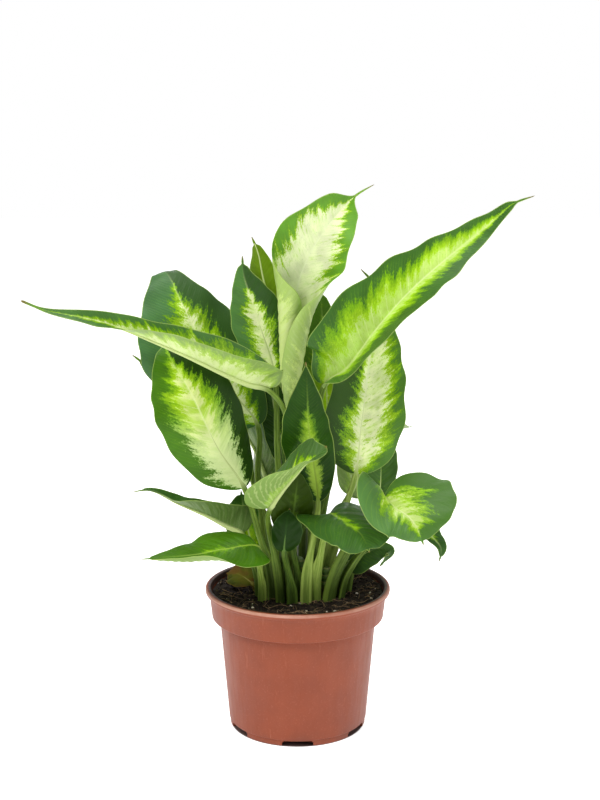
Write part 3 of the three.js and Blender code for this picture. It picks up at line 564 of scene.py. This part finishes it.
def bladeMesh(leaf, path, seed):
    v = np.linspace(0, 1, leaf["rows"])[1:-1]
    rows = 0.5 * v + 0.25 * (1 - np.cos(np.pi * v))
    half = np.linspace(0, 1, leaf["halfColumns"] + 1)
    half = np.sort(np.concatenate([half * (0.62 + 0.38 * half), leaf["marginColumns"]]))
    columns = np.concatenate([-half[:0:-1], half])
    points, normals, ribMm, edgeMm = bladeGrid(leaf, path, rows, columns)
    length = (1 - path["baseAt"]) * path["length"]
    share = np.abs(columns)[None, :]
    veinMm = np.broadcast_to(rows[:, None] * length, ribMm.shape)
    sideVein = veinMm - leaf["veinSlant"] * ribMm
    pleats = np.cos(2 * np.pi * sideVein / leaf["pleatSpacing"] + seed + (columns < 0)[None, :] * 1.7)
    pleats = leaf["pleatHeight"] * pleats * smoothStep(ribMm, 0.5, 6) * (1 - share**3)
    margin = np.sin(veinMm / 3.1 + seed * 2 + np.sign(columns)[None, :]) * smoothStep(edgeMm + ribMm, 2, 8)
    points = points + normals * (pleats + leaf["marginWave"] * leaf["wave"] * share**6 * margin)[..., None]
    groove = leaf["grooveDepth"] * np.exp(-(ribMm / leaf["grooveWidth"]) ** 2) * (1 - rows[:, None])
    thin, full = leaf["marginThickness"], leaf["thickness"]
    thick = thin + (full - thin) * smoothStep(edgeMm, 0, leaf["marginBevel"])
    upper = points + normals * (thick / 2 - groove)[..., None]
    lower = points - normals * (thick / 2)[..., None]
    rings = np.concatenate([upper, lower[:, ::-1]], axis=1)
    ends = path["pointAt"](np.array([path["baseAt"], 1.0]))

    def onBlade(values, first=0, last=0):
        values = np.broadcast_to(values, ribMm.shape)
        return onSkin(first, np.hstack([values, values[:, ::-1]]), rings.shape[:2], last)

    return loft(ends[0], rings, ends[1]), {
        "along": onBlade(rows[:, None], 0, 1),
        "across": onBlade(columns),
        "veinMm": onBlade(veinMm, 0, length),
        "acrossMm": onBlade(ribMm * np.sign(columns)),
        "edgeMm": onBlade(edgeMm),
        "upperSide": onSkin(1, np.repeat([1, 0], len(columns)), rings.shape[:2], 1),
    }


# The petiole with its channel and sheath wings, running on as the midrib under the blade
def stalkMesh(leaf, path):
    shares = np.linspace(0, 1, leaf["stalkRows"])
    ribShares = np.linspace(0, leaf["ribEnd"], leaf["ribRows"] + 1)[1:]
    foot, footAlong = (path[key](shares * path["baseAt"]) for key in ("pointAt", "alongAt"))
    ribCentre, ribAlong, ribUp, _ = framesAt(leaf, path, ribShares)
    ups = [framesAt(leaf, path, np.array([0.0]))[2][0]]
    for direction in footAlong[::-1]:
        ups.append(unit(ups[-1] - direction * np.dot(ups[-1], direction)))
    centre, along = np.vstack([foot, ribCentre]), np.vstack([footAlong, ribAlong])
    up = np.vstack([ups[:0:-1], ribUp])
    onRib = smoothStep(ribShares, 0, 0.06)
    radius = np.concatenate([
        leaf["stalkFoot"] + (leaf["stalkTop"] - leaf["stalkFoot"]) * shares,
        leaf["ribTip"] + (leaf["stalkTop"] - leaf["ribTip"]) * (1 - ribShares) ** 1.6])
    wing = smoothStep(shares, 0, leaf["wingStart"]) * (1 - smoothStep(shares, *leaf["wingEnd"]))
    wing = np.concatenate([leaf["wing"] * wing, np.zeros(len(ribShares))])
    channel = leaf["channel"] * np.concatenate([np.ones(len(shares)), 1 - onRib])
    atBase, further = leaf["sink"]
    sink = np.concatenate([smoothStep(shares, 0.9, 1) * atBase, atBase + further * onRib])
    centre = centre - up * (radius * sink)[:, None]
    side = np.cross(along, up)
    angles = np.linspace(0, 2 * np.pi, leaf["stalkSides"], endpoint=False)
    turn = (angles + np.pi) % (2 * np.pi) - np.pi
    dip = np.exp(-(turn / leaf["channelWidth"]) ** 2)
    ridge = wing[:, None] * np.exp(-((np.abs(turn) - leaf["wingAngle"]) / leaf["wingWidth"]) ** 2)
    reach = radius[:, None] * (1 - channel[:, None] * dip) + ridge
    rings = (centre[:, None, :] + up[:, None, :] * (reach * np.cos(angles))[..., None]
             + side[:, None, :] * (reach * np.sin(angles))[..., None])
    alongMm = np.concatenate([shares * path["baseAt"], path["baseAt"] + (1 - path["baseAt"]) * ribShares])
    alongMm = alongMm * path["length"]
    return loft(centre[0], rings, centre[-1]), {
        "along": onSkin(-1, np.concatenate([shares - 1, ribShares])[:, None], reach.shape, 1),
        "across": onSkin(0, turn / np.pi, reach.shape, 0),
        "veinMm": onSkin(0, alongMm[:, None], reach.shape, alongMm[-1]),
        "acrossMm": onSkin(0, turn * radius[:, None], reach.shape, 0),
        "edgeMm": onSkin(0, ridge, reach.shape, 0),
        "upperSide": onSkin(0, 0.5 + 0.5 * np.cos(turn), reach.shape, 0),
    }


def newMesh(name, verts, faces, attributes=None, smooth=True):
    mesh = bpy.data.meshes.new(name)
    mesh.from_pydata((np.asarray(verts) * mm).tolist(), [], [[int(i) for i in face] for face in faces])
    mesh.update()
    for key, values in (attributes or {}).items():
        mesh.attributes.new(key, "FLOAT", "POINT").data.foreach_set("value", np.asarray(values, np.float32))
    mesh.polygons.foreach_set("use_smooth", [smooth] * len(mesh.polygons))
    return mesh


def newPiece(name, mesh, node=None, materials=()):
    piece = bpy.data.objects.new(name, mesh)
    bpy.context.collection.objects.link(piece)
    for material in materials:
        mesh.materials.append(material)
    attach(piece, "root")
    if node:
        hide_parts(node)
    return piece


def leafMaterial(name, look, seed):
    tints = {key: colour(look[key]) for key in leafColours}
    t = NodeTree(bpy.data.materials.new(name))
    along, across, veinMm, acrossMm, edgeMm, upperSide = (
        t.value(key) for key in ("along", "across", "veinMm", "acrossMm", "edgeMm", "upperSide"))
    ribMm = t.math("ABSOLUTE", acrossMm)
    rightHalf = t.math("GREATER_THAN", across, 0.0)
    layer = t.timesPlus(rightHalf, 5.0, seed)
    # sideVein stays the same along a side vein, which slants from the midrib towards the tip
    sideVein = t.timesPlus(ribMm, -leafForm["veinSlant"], veinMm)

    def veinNoise(lengthwise, outward, z, **settings):
        return t.noiseAt(t.times(sideVein, lengthwise), t.times(ribMm, outward), z, **settings)

    flames = veinNoise(0.2, 0.03, layer, detail=1.0)
    streaks = veinNoise(0.55, 0.26, layer)
    speckle = veinNoise(1.35, 1.0, layer, detail=3.0, roughness=0.7)
    lime = veinNoise(0.12, 0.06, t.plus(layer, 9.0))
    patches = t.noiseAt(t.times(veinMm, 0.09), t.times(acrossMm, 0.09), seed + 20)
    grain = t.noiseAt(t.times(sideVein, 2.1), t.times(acrossMm, 1.1), seed, detail=3.0)

    # reach grows from the midrib to the margin, and its edges run out along the side veins
    reach = t.math("ABSOLUTE", across)
    for part, amount in ((flames, 0.85), (streaks, 0.5), (speckle, 0.75)):
        reach = t.timesPlus(part, amount * look["feather"], reach)
    reach = t.math("SUBTRACT", reach, 1.05 * look["feather"])
    reach = t.plus(reach, t.between(along, look["tip"] - 0.28, min(look["tip"] + 0.1, 1.0), 0.0, 0.7))
    reach = t.plus(reach, t.between(along, 0.0, 0.08, 0.12, 0.0))
    if "rightShift" in look:
        reach = t.plus(reach, t.times(t.between(across, 0.05, 0.3), look["rightShift"]))
    if "leftShift" in look:
        inLeft = t.times(t.between(across, -0.05, -0.3), t.between(along, 0.2, 0.55))
        reach = t.plus(reach, t.times(inLeft, look["leftShift"]))
    cream, green = look["creamTo"], look["greenTo"]
    place = t.timesPlus(reach, 0.4, 0.4)  # the ramp starts at zero, and reach at minus one
    edges = {"cream": cream - 0.1, "yellowGreen": cream + 0.01, "midGreen": green - 0.03, "margin": green + 0.06}
    pattern = t.ramp(place, [(0.4 * (edge + 1), tints[key]) for key, edge in edges.items()])

    def within(part, low, high, start=0.0, end=1.0):
        return t.times(part, t.between(reach, low, high, start, end))

    # streaks of the next colour along the side veins, lime patches and pale side veins in the cream
    inCream = within(t.between(reach, cream - 0.45, cream - 0.05, 0.15, 0.6), cream + 0.12, cream)
    pattern = t.blend(t.times(t.between(streaks, 0.5, 0.68), inCream), pattern, tints["yellowGreen"])
    limePart = t.between(lime, 0.46, 0.64, 0.0, look["limePatches"])
    pattern = t.blend(within(limePart, cream + 0.05, cream - 0.15), pattern, tints["yellowGreen"])
    paleVein = t.between(t.math("PINGPONG", t.timesPlus(streaks, 2.0, sideVein), 3.1), 0.4, 0.05)
    inPale = within(paleVein, cream + 0.1, cream - 0.05)
    pattern = t.blend(t.times(inPale, 0.4), pattern, tints["midrib"])
    # streaks and flecks of mid-green in the margin
    inMargin = within(t.between(streaks, 0.42, 0.25), green, green + 0.1, 0.0, 0.2)
    pattern = t.blend(inMargin, pattern, tints["midGreen"])
    flecks = within(t.between(speckle, 0.4, 0.32), green + 0.3, green)
    pattern = t.blend(t.times(flecks, look["flecks"]), pattern, tints["midGreen"])
    # fine side veins, and a slow change of shade over the blade
    veins = t.math("PINGPONG", t.timesPlus(streaks, 0.8, sideVein), 1.1)
    veinLine = t.times(t.between(veins, 0.3, 0.0), t.between(edgeMm, 0.5, 5.0))
    pattern = t.blend(t.times(veinLine, look["veins"]), pattern, tints["yellowGreen"])
    shade = t.between(patches, 0.3, 0.7, *look["shade"])
    pattern = t.blend(1.0, pattern, t.add("CombineColor", {0: shade, 1: shade, 2: shade}), mode="MULTIPLY")
    if "darkSide" in look:
        half, shadeCode = look["darkSide"]
        inHalf = rightHalf if half == "right" else t.math("SUBTRACT", 1.0, rightHalf)
        pattern = t.blend(within(inHalf, green - 0.05, green + 0.1, 0.0, 0.85), pattern, colour(shadeCode))
    if "base" in look:
        nearBase = within(t.between(along, 0.55, 0.2, 0.0, 0.8), green + 0.05, green - 0.15)
        pattern = t.blend(nearBase, pattern, colour(look["base"]))
    rib = t.times(t.between(ribMm, 0.85, 0.25), t.between(along, 0.95, 0.5))
    pattern = t.blend(t.times(rib, 0.55), pattern, tints["midrib"])
    # the underside, where the side veins stand out pale
    under = t.blend(look["underCover"], pattern, tints["under"])
    ribs = t.math("PINGPONG", t.timesPlus(streaks, 3.5, sideVein), 1.5)
    ribLine = t.times(t.between(ribs, 0.6, 0.05), t.between(edgeMm, 0.4, 2.5))
    under = t.blend(t.times(ribLine, look["ribs"]), under, tints["midrib"])
    skin = t.blend(upperSide, under, pattern)
    skin = t.blend(t.between(edgeMm, 0.5, 0.15, 0.0, 0.65), skin, tints["edge"])
    skin = t.blend(t.between(along, 0.955, 0.995, 0.0, 0.85), skin, tints["tipBrown"])
    if "age" in look:
        skin = t.blend(t.between(patches, 0.5, 0.66, 0.0, look["age"]), skin, colour(look["witheredBrown"]))
    bump = t.bump(t.timesPlus(veins, 0.18, t.times(grain, 0.5)), look["bump"], look["bumpDepth"])
    roughness = t.between(grain, 0.3, 0.7, look["roughness"] - 0.05, look["roughness"] + 0.09)
    surface = t.surface(skin, roughness, bump, look["gloss"])
    glow = t.add("BsdfTranslucent", {"Color": skin, "Normal": bump})
    return t.finish(t.add("MixShader", {0: look["lightThrough"], 1: surface, 2: glow}))


petioleLooks = {
    "petioleLight": {"light": "#a9bf62", "dark": "#7c973a", "foot": "#506523", "rib": "#d6e2a0"},
    "petioleMid": {"light": "#758e36", "dark": "#4e6a20", "foot": "#2e3f12", "rib": "#c6d68e"},
    "petioleLime": {"light": "#a4bb5a", "dark": "#7a9538", "foot": "#506523", "rib": "#8fae34"},
    "petioleDark": {"light": "#5a7427", "dark": "#3a5218", "foot": "#263810", "rib": "#587a34"},
    "petioleOld": {"light": "#9a9040", "dark": "#6f6528", "foot": "#4d421d", "rib": "#8f8540"},
}


def petioleMaterial(name, look):
    light, dark, foot, rib = (colour(look[key]) for key in ("light", "dark", "foot", "rib"))
    t = NodeTree(bpy.data.materials.new(name))
    along, alongMm, aroundMm, wing = (t.value(key) for key in ("along", "veinMm", "acrossMm", "edgeMm"))
    stripes, mottle = (t.noiseAt(t.times(aroundMm, x), t.times(alongMm, y), z, detail=3.0, roughness=0.6)
                       for x, y, z in ((1.5, 0.05, 3.0), (0.45, 0.16, 9.0)))
    skin = t.blend(t.between(stripes, 0.36, 0.64), light, dark)
    skin = t.blend(t.times(t.between(mottle, 0.52, 0.68), 0.55), skin, dark)
    skin = t.blend(t.between(along, -0.35, -0.9, 0.0, 0.85), skin, foot)
    skin = t.blend(t.between(wing, 0.4, 1.0, 0.0, 0.55), skin, light)
    skin = t.blend(t.between(along, -0.02, 0.06, 0.0, 0.85), skin, rib)
    return t.finish(t.surface(skin, t.between(mottle, 0.3, 0.7, 0.42, 0.56), t.bump(stripes, 0.25, 0.0004), 0.2))


def camelName(node):
    words = node.split("_")[1:] + ["leaf"]
    return words[0] + "".join(word.capitalize() for word in words[1:])


petioles = {name: petioleMaterial(name, look) for name, look in petioleLooks.items()}
for k, (node, ownValues) in enumerate(leaves.items()):
    name, leaf = camelName(node), wholeLeaf(ownValues)
    path = pathOf(leaf)
    blade, bladeValues = bladeMesh(leaf, path, 1.3 * k)
    stalk, stalkValues = stalkMesh(leaf, path)
    values = {key: np.concatenate([bladeValues[key], stalkValues[key]]) for key in bladeValues}
    mesh = newMesh(name, *joined([blade, stalk]), values)
    skins = (leafMaterial(name + "Blade", leaf, 7.0 + 3.1 * k), petioles[leaf["petiole"]])
    newPiece(name, mesh, node, skins)
    mesh.polygons.foreach_set("material_index", [0] * len(blade[1]) + [1] * len(stalk[1]))
print("leaves:", len(leaves))

# Pot
pot = {
    "height": 93, "lipRadius": 60, "lipHeight": 4, "lipInner": 57, "lipRound": 1.6, "innerRound": 1.1,
    "bandTop": 57.6, "bandBottom": 55.8, "bandHeight": 20, "bandRound": 0.9,
    "bodyTop": 50.8, "base": 45, "footStep": 0.7, "footRound": 0.6, "underStep": 0.5, "footRing": (5.5, 6.5),
    "wall": 1.4, "floor": 2.4, "segments": 144,
    "slots": 6, "slotWidth": 20, "slotHeight": 3.4, "slotDepth": 7, "slotRound": 0.9,
    # the rim colour is a painted highlight along the lip, and the dark stain colour is painted shade inside the lip
    "colour": "#873b1a", "shade": "#7f3617", "dust": "#b9735a", "rim": "#c99a86", "peatStainAndShade": "#2a1a12",
    "footStain": "#5a3a2b", "sharpDegrees": 38,
}


def arc(centre, radius, start, end, count):
    angles = np.radians(np.linspace(start, end, count))
    return [(centre[0] + radius * math.cos(a), centre[1] + radius * math.sin(a)) for a in angles]


# The points after low, evenly up to high
def straight(low, high, count):
    return [tuple(a + (b - a) * k / count for a, b in zip(low, high)) for k in range(1, count + 1)]


def turnedMesh(name, profile, segments):
    angles = np.linspace(0, 2 * np.pi, segments, endpoint=False)
    ring = np.stack([np.cos(angles), np.sin(angles), np.zeros(segments)], axis=1)
    rings = [ring * r + [0, 0, z] for r, z in profile[1:-1]]
    ends = [np.array([0, 0, profile[k][1]], float) for k in (0, -1)]
    return newMesh(name, *loft(ends[0], np.array(rings), ends[1]))


# Half of the pot's section, from the middle of its underside round the outside to the middle of its floor
def potProfile():
    step = pot["height"] - pot["bandHeight"]
    inner = step + pot["wall"]
    lipLow = pot["height"] - pot["lipHeight"]
    lipMid = pot["lipRadius"] - pot["lipRound"]
    foot, base = pot["base"] - pot["footStep"], pot["base"]
    bodyLow = pot["slotHeight"] + 0.3 + pot["bandRound"]
    bandLow = step + pot["bandRound"]
    profile = [(0, pot["underStep"]), (base - pot["footRing"][1], pot["underStep"]), (base - pot["footRing"][0], 0)]
    profile += arc((foot - pot["footRound"], pot["footRound"]), pot["footRound"], -90, 0, 4)
    profile += [(foot, bodyLow - pot["bandRound"] - 0.5)]
    profile += arc((base - pot["bandRound"], bodyLow), pot["bandRound"], -80, 0, 6)
    profile += straight((base, bodyLow), (pot["bodyTop"], step - 0.7), 15)
    profile[-1] = (pot["bodyTop"] - 0.7, step - 0.7)
    profile += [(pot["bodyTop"] + 0.2, step - 0.1), (pot["bandBottom"] - 1.0, step)]
    profile += arc((pot["bandBottom"] - pot["bandRound"], bandLow), pot["bandRound"], -70, 0, 5)
    profile += straight((pot["bandBottom"], bandLow), (pot["bandTop"] - 0.2, lipLow - 0.7), 5)
    profile += [(pot["bandTop"] + 0.3, lipLow)]
    profile += arc((lipMid, lipLow + 1.7), pot["lipRound"], -80, 0, 6)
    profile += arc((lipMid, pot["height"] - 1.7), pot["lipRound"], 0, 90, 8)
    profile += arc((pot["lipInner"] + 0.5, pot["height"] - pot["innerRound"]), pot["innerRound"], 100, 180, 5)
    inside = [("bandTop", -0.1, pot["height"] - 3), ("bandBottom", 0, inner + 0.8), ("bandBottom", -0.8, inner),
              ("bodyTop", 0, inner), ("base", 0, pot["floor"] + 1), ("base", -1, pot["floor"])]
    return profile + [(pot[key] - pot["wall"] + shift, z) for key, shift, z in inside] + [(0, pot["floor"])]


def cutSlots(piece):
    for k in range(pot["slots"]):
        bm = bmesh.new()
        bmesh.ops.create_cube(bm, size=1)
        size = Vector((pot["slotWidth"], 2 * pot["slotDepth"], 2 * pot["slotHeight"])) * mm
        bmesh.ops.scale(bm, vec=size, verts=bm.verts)
        corners = [e for e in bm.edges if abs(e.verts[0].co.y - e.verts[1].co.y) > 1e-4]
        bmesh.ops.bevel(bm, geom=corners, offset=pot["slotRound"] * mm, segments=3, affect="EDGES")
        bmesh.ops.translate(bm, vec=Vector((0, -pot["base"], 0)) * mm, verts=bm.verts)
        turn = 2 * math.pi * k / pot["slots"]
        for vert in bm.verts:
            x, y, z = vert.co
            vert.co = (x * math.cos(turn) - y * math.sin(turn), x * math.sin(turn) + y * math.cos(turn), z)
        cutterMesh = bpy.data.meshes.new("slotCutter")
        bm.to_mesh(cutterMesh)
        bm.free()
        cutter = bpy.data.objects.new("slotCutter", cutterMesh)
        bpy.context.collection.objects.link(cutter)
        cut = piece.modifiers.new("slot", "BOOLEAN")
        cut.operation = "DIFFERENCE"
        cut.solver = "EXACT"
        cut.object = cutter
        cutPiece = piece.evaluated_get(bpy.context.evaluated_depsgraph_get())
        cutMesh = bpy.data.meshes.new_from_object(cutPiece)
        piece.modifiers.clear()
        piece.data = cutMesh
        bpy.data.objects.remove(cutter)
        bpy.data.meshes.remove(cutterMesh)


def terracottaPlastic():
    t = NodeTree(bpy.data.materials.new("terracottaPlastic"))
    place = t.place()
    x, y, z = (t.add("SeparateXYZ", {0: place}, out=k) for k in range(3))
    cloud = t.noise(place, 38.0, 4.0, 0.6)
    fine = t.noise(place, 900.0)
    scuffs = t.noiseAt(t.times(x, 260.0), t.times(y, 260.0), t.times(z, 24.0), detail=3.0, roughness=0.7)
    skin = t.blend(t.between(cloud, 0.3, 0.72), colour(pot["colour"]), colour(pot["shade"]))
    skin = t.blend(t.between(scuffs, 0.62, 0.8, 0.0, 0.35), skin, colour(pot["dust"]))
    low = t.times(t.between(z, 0.012, 0.0), t.between(cloud, 0.35, 0.65))
    skin = t.blend(t.times(low, 0.3), skin, colour(pot["footStain"]))
    skin = t.blend(t.between(fine, 0.55, 0.75, 0.0, 0.12), skin, colour(pot["dust"]))
    # a pale line round the outside of the lip, a painted highlight with a dusty tone, and painted shade on its
    # inside, broken up like peat dust
    radius = t.math("SQRT", t.plus(t.times(x, x), t.times(y, y)))
    # painted highlight: a pale line along the outer top of the lip
    paintedRimHighlight = t.times(t.between(radius, 0.0588, 0.0594), t.between(z, 0.0906, 0.0914))
    skin = t.blend(t.times(paintedRimHighlight, t.between(cloud, 0.3, 0.6, 0.3, 0.7)), skin, colour(pot["rim"]))
    # painted shade: the inside of the lip darkened where it lies in shadow, broken up like peat dust
    inside = t.times(t.between(radius, 0.0586, 0.0578), t.between(z, 0.0885, 0.0895))
    skin = t.blend(t.times(inside, t.between(fine, 0.3, 0.5, 0.7, 0.95)), skin, colour(pot["peatStainAndShade"]))
    bump = t.bump(t.timesPlus(fine, 0.6, t.times(cloud, 0.7)), 0.18, 0.0003)
    return t.finish(t.surface(skin, t.between(scuffs, 0.3, 0.7, 0.42, 0.56), bump, 0.4))


potPiece = newPiece("growersPot", turnedMesh("growersPot", potProfile(), pot["segments"]), "pot")
cutSlots(potPiece)
potMesh = potPiece.data
potMesh.materials.clear()
potMesh.materials.append(terracottaPlastic())
bm = bmesh.new()
bm.from_mesh(potMesh)
bmesh.ops.remove_doubles(bm, verts=bm.verts, dist=1e-6)
bm.to_mesh(potMesh)
bm.free()
potMesh.polygons.foreach_set("use_smooth", [True] * len(potMesh.polygons))
potMesh.set_sharp_from_angle(angle=math.radians(pot["sharpDegrees"]))
print("pot:", len(potMesh.polygons), "faces")

# Soil
soil = {
    "top": leafForm["soilTop"], "rise": 4.0, "riseFrom": 0.6, "roughness": 0.9, "gap": 0.3,
    "rings": 90, "segments": 180, "lumps": 0.8, "lumpScale": 0.42,
    "crumbs": 2600, "crumbSizes": (0.5, 2.0), "crumbSink": 0.15, "perlite": 60, "perliteSizes": (0.35, 1.5),
    "fibres": 190, "fibreSteps": 8, "fibreSides": 6,
    "peat": ("#17110e", "#2e241c", "#4a3b2d"), "perliteGrit": ("#a89c88", "#cdc3b2", "#e9e2d6"),
    "rootFibre": ("#6b5740", "#93795a", "#a8926f"),  # dark, middle and light
}
soilEdge = pot["bandTop"] - pot["wall"] - soil["gap"]


def soilHeight(x, y):
    radius = math.hypot(x, y)
    bump = math.sin(x * 0.31 + 1.3 * math.sin(y * 0.23)) * math.cos(y * 0.27 + x * 0.11)
    rise = soil["rise"] * smoothStep(radius / soilEdge, soil["riseFrom"], 1)
    return soil["top"] + rise + soil["roughness"] * bump * min(1, radius / 6)


def soilBody():
    step = pot["height"] - pot["bandHeight"] + pot["wall"] + soil["gap"]
    inner = pot["wall"] + soil["gap"]
    edge = soilEdge - 0.35
    angles = np.linspace(0, 2 * np.pi, soil["segments"], endpoint=False)
    low = [(pot["base"] - inner - 0.4, pot["floor"] + soil["gap"]), (pot["bodyTop"] - inner - 0.4, step),
           (pot["bandBottom"] - inner, step + 1)]
    rings = [[(r * math.cos(a), r * math.sin(a), z) for a in angles] for r, z in low]
    for k in range(soil["rings"]):
        r = edge * (1 - k / soil["rings"]) ** 0.9
        ring = []
        for a in angles:
            x, y = r * math.cos(a), r * math.sin(a)
            lumps = noise.fractal(Vector((x, y, 0)) * soil["lumpScale"], 0.7, 2.1, 4) * soil["lumps"]
            ring.append((x, y, soilHeight(x, y) - 0.8 + lumps - 1.2 * smoothStep(r, edge - 2.5, edge)))
        rings.append(ring)
    ends = [np.array([0, 0, z], float) for z in (low[0][1], soilHeight(0, 0) - 0.8)]
    return loft(ends[0], np.array(rings), ends[1])


# Small lumps from one rounded stone, each wobbled in its own way
def lumpsMesh(name, lumps):
    bm = bmesh.new()
    bmesh.ops.create_icosphere(bm, subdivisions=1, radius=1)
    stone = np.array([v.co[:] for v in bm.verts])
    stoneFaces = [[v.index for v in f.verts] for f in bm.faces]
    bm.free()
    parts, tones = [], []
    for place, size, tone, k in lumps:
        wobble = [0.75 + 0.5 * noise.noise(Vector(p) * 1.3 + Vector((k * 3.7, k * 1.9, 0))) for p in stone]
        parts.append((stone * size * np.array(wobble)[:, None] + place, stoneFaces))
        tones += [tone] * len(stone)
    return newMesh(name, *joined(parts), {"tone": tones}, smooth=False)


def scattered(rng, count, sizes, sink):
    lumps = []
    for k in range(count):
        r, a = (soilEdge - 1.2 - sizes[1] * 0.6) * math.sqrt(rng.random()), rng.random() * 2 * math.pi
        size = sizes[0] + (sizes[1] - sizes[0]) * rng.random() ** 2.2
        x, y = r * math.cos(a), r * math.sin(a)
        shape = size * np.array([1, 0.5 + 0.6 * rng.random(), 0.4 + 0.4 * rng.random()])
        lumps.append((np.array([x, y, soilHeight(x, y) - sink * size]), shape, rng.random(), k))
    return lumps


def fibresMesh(rng):
    edge, steps = soilEdge - 4, soil["fibreSteps"]
    turns = np.linspace(0, 2 * np.pi, soil["fibreSides"], endpoint=False)
    parts = []
    for _ in range(soil["fibres"]):
        r, a, heading = edge * math.sqrt(rng.random()), rng.random() * 2 * math.pi, rng.random() * 2 * math.pi
        x, y = r * math.cos(a), r * math.sin(a)
        radius, length, bend = 0.09 + 0.13 * rng.random(), 3 + 11 * rng.random(), 1.8 * (rng.random() - 0.5)
        lift, rings = 1.4 * rng.random(), []
        for k in range(steps + 1):
            if math.hypot(x, y) > edge + 2:
                break
            centre = np.array([x, y, soilHeight(x, y) + 0.4 + lift * math.sin(math.pi * k / steps)])
            side = np.array([-math.sin(heading), math.cos(heading), 0])
            thin = radius * (1 - 0.6 * (k / steps) ** 2)
            rings.append([centre + thin * (side * math.cos(b) + np.array([0, 0, 1]) * math.sin(b)) for b in turns])
            x, y = x + math.cos(heading) * length / steps, y + math.sin(heading) * length / steps
            heading += bend / steps
        if len(rings) > 3:
            rings = np.array(rings)
            parts.append(loft(rings[0].mean(axis=0), rings, rings[-1].mean(axis=0)))
    return newMesh("soilFibres", *joined(parts))


def soilMaterial(name, codes, toned=False):
    dark, mid, light = (colour(code) for code in codes)
    t = NodeTree(bpy.data.materials.new(name))
    place = t.place()
    grain = t.noise(place, 700.0, 4.0, 0.7)
    broad = t.value("tone") if toned else t.noise(place, 120.0, 3.0)
    skin = t.blend(t.between(grain, 0.35, 0.65), dark, mid)
    skin = t.blend(t.between(broad, 0.62, 0.98, 0.0, 0.7), skin, light)
    return t.finish(t.surface(skin, 0.92, t.bump(grain, 0.6, 0.0005), 0.25))


rng = np.random.default_rng(11)
peat = soilMaterial("peat", soil["peat"])
crumbSkin = soilMaterial("peatCrumbs", soil["peat"], toned=True)
gritSkin = soilMaterial("perliteGrit", soil["perliteGrit"], toned=True)
fibreSkin = soilMaterial("rootFibre", soil["rootFibre"])
crumbs = scattered(rng, soil["crumbs"], soil["crumbSizes"], soil["crumbSink"])
grit = scattered(rng, soil["perlite"], soil["perliteSizes"], 0.0)
newPiece("soilBody", newMesh("soilBody", *soilBody()), "soil", [peat])
newPiece("soilCrumbs", lumpsMesh("soilCrumbs", crumbs), materials=[crumbSkin])
newPiece("soilPerlite", lumpsMesh("soilPerlite", grit), materials=[gritSkin])
newPiece("soilFibres", fibresMesh(rng), materials=[fibreSkin])
print("soil:", len(crumbs), "crumbs,", len(grit), "grains of perlite,", soil["fibres"], "fibres")

# Canes
canes = {
    "places": {"cane_left": (-17, -2, 104), "cane_centre": (1, 0, 112), "cane_right": (19, -3, 106)},
    "radius": 4.2, "segments": 40, "skin": "#66823c", "shade": "#4c6630", "scar": "#a8a36a", "cork": "#8a7448",
    "top": [  # radius over the cane's own, and height under its top: a leaf scar and the rounded end
        (0.45, 11.2), (0.4, 10.6), (-0.3, 10), (-0.5, 7.5), (-0.2, 6.9), (-0.25, 6.4), (-0.7, 5.9), (-0.85, 4)],
    "end": [(0.78, 2.2), (0.5, 0.9), (0.2, 0.1), (0, 0)],  # share of the radius, and height under the top
}


def caneMesh(name, place):
    x, y, top = place
    radius, foot = canes["radius"], soil["top"] - leafForm["rootDepth"]
    profile = [(0, foot), (radius, foot)]
    profile += [(radius + 0.12 * math.sin(z * 2.1), z) for z in np.linspace(foot + 1, top - 12, 10)]
    profile += [(radius + more, top - under) for more, under in canes["top"]]
    profile += [(radius * share, top - under) for share, under in canes["end"]]
    mesh = turnedMesh(name, profile, canes["segments"])
    for vert in mesh.vertices:
        vert.co = vert.co + Vector((x, y, 0)) * mm
    return mesh


def caneMaterial():
    t = NodeTree(bpy.data.materials.new("caneSkin"))
    place = t.place()
    z = t.add("SeparateXYZ", {0: place}, out=2)
    grain = t.noise(place, 420.0, 3.0)
    rings = t.math("PINGPONG", t.timesPlus(grain, 0.0006, z), 0.0022)
    skin = t.blend(t.between(grain, 0.3, 0.7), colour(canes["skin"]), colour(canes["shade"]))
    skin = t.blend(t.between(rings, 0.0006, 0.0001, 0.0, 0.6), skin, colour(canes["scar"]))
    skin = t.blend(t.between(z, 0.098, 0.088, 0.0, 0.6), skin, colour(canes["cork"]))
    return t.finish(t.surface(skin, 0.5, t.bump(grain, 0.3, 0.0005)))


caneSkin = caneMaterial()
for node, place in canes["places"].items():
    name = node.split("_")[1] + "Cane"
    newPiece(name, caneMesh(name, place), node, [caneSkin])
print("canes:", len(canes["places"]))

# Floor, with a painted shadow where the pot covers it and an even glow from there on, in metres from the pot's axis
floor = {
    "size": 8.0, "drop": 0.0003, "colour": (0.9, 0.9, 0.9, 1), "glow": 0.75,
    "potShadow": (0.0432, 0.0446), "potUnder": (0.16, 0.1, 0.09, 1),
}

half = floor["size"] / 2
floorMesh = bpy.data.meshes.new("floor")
floorMesh.from_pydata([(-half, -half, 0), (half, -half, 0), (half, half, 0), (-half, half, 0)], [], [(0, 1, 2, 3)])
t = NodeTree(bpy.data.materials.new("paleFloor"))
fromPot = t.add("VectorMath", {0: t.place()}, out="Value", operation="LENGTH")
shadowEdge, lightEdge = floor["potShadow"]
# painted shadow: under the pot the floor turns dark and stops glowing
skin = t.blend(t.between(fromPot, lightEdge, shadowEdge), floor["colour"], floor["potUnder"])
floorMesh.materials.append(t.finish(t.add("BsdfPrincipled", {
    "Base Color": skin, "Roughness": 0.8, "Emission Color": (1, 1, 1, 1),
    "Emission Strength": t.between(fromPot, shadowEdge, lightEdge, 0.0, floor["glow"])})))
floorPiece = bpy.data.objects.new("floor", floorMesh)
floorPiece.location.z = -floor["drop"]
bpy.context.collection.objects.link(floorPiece)
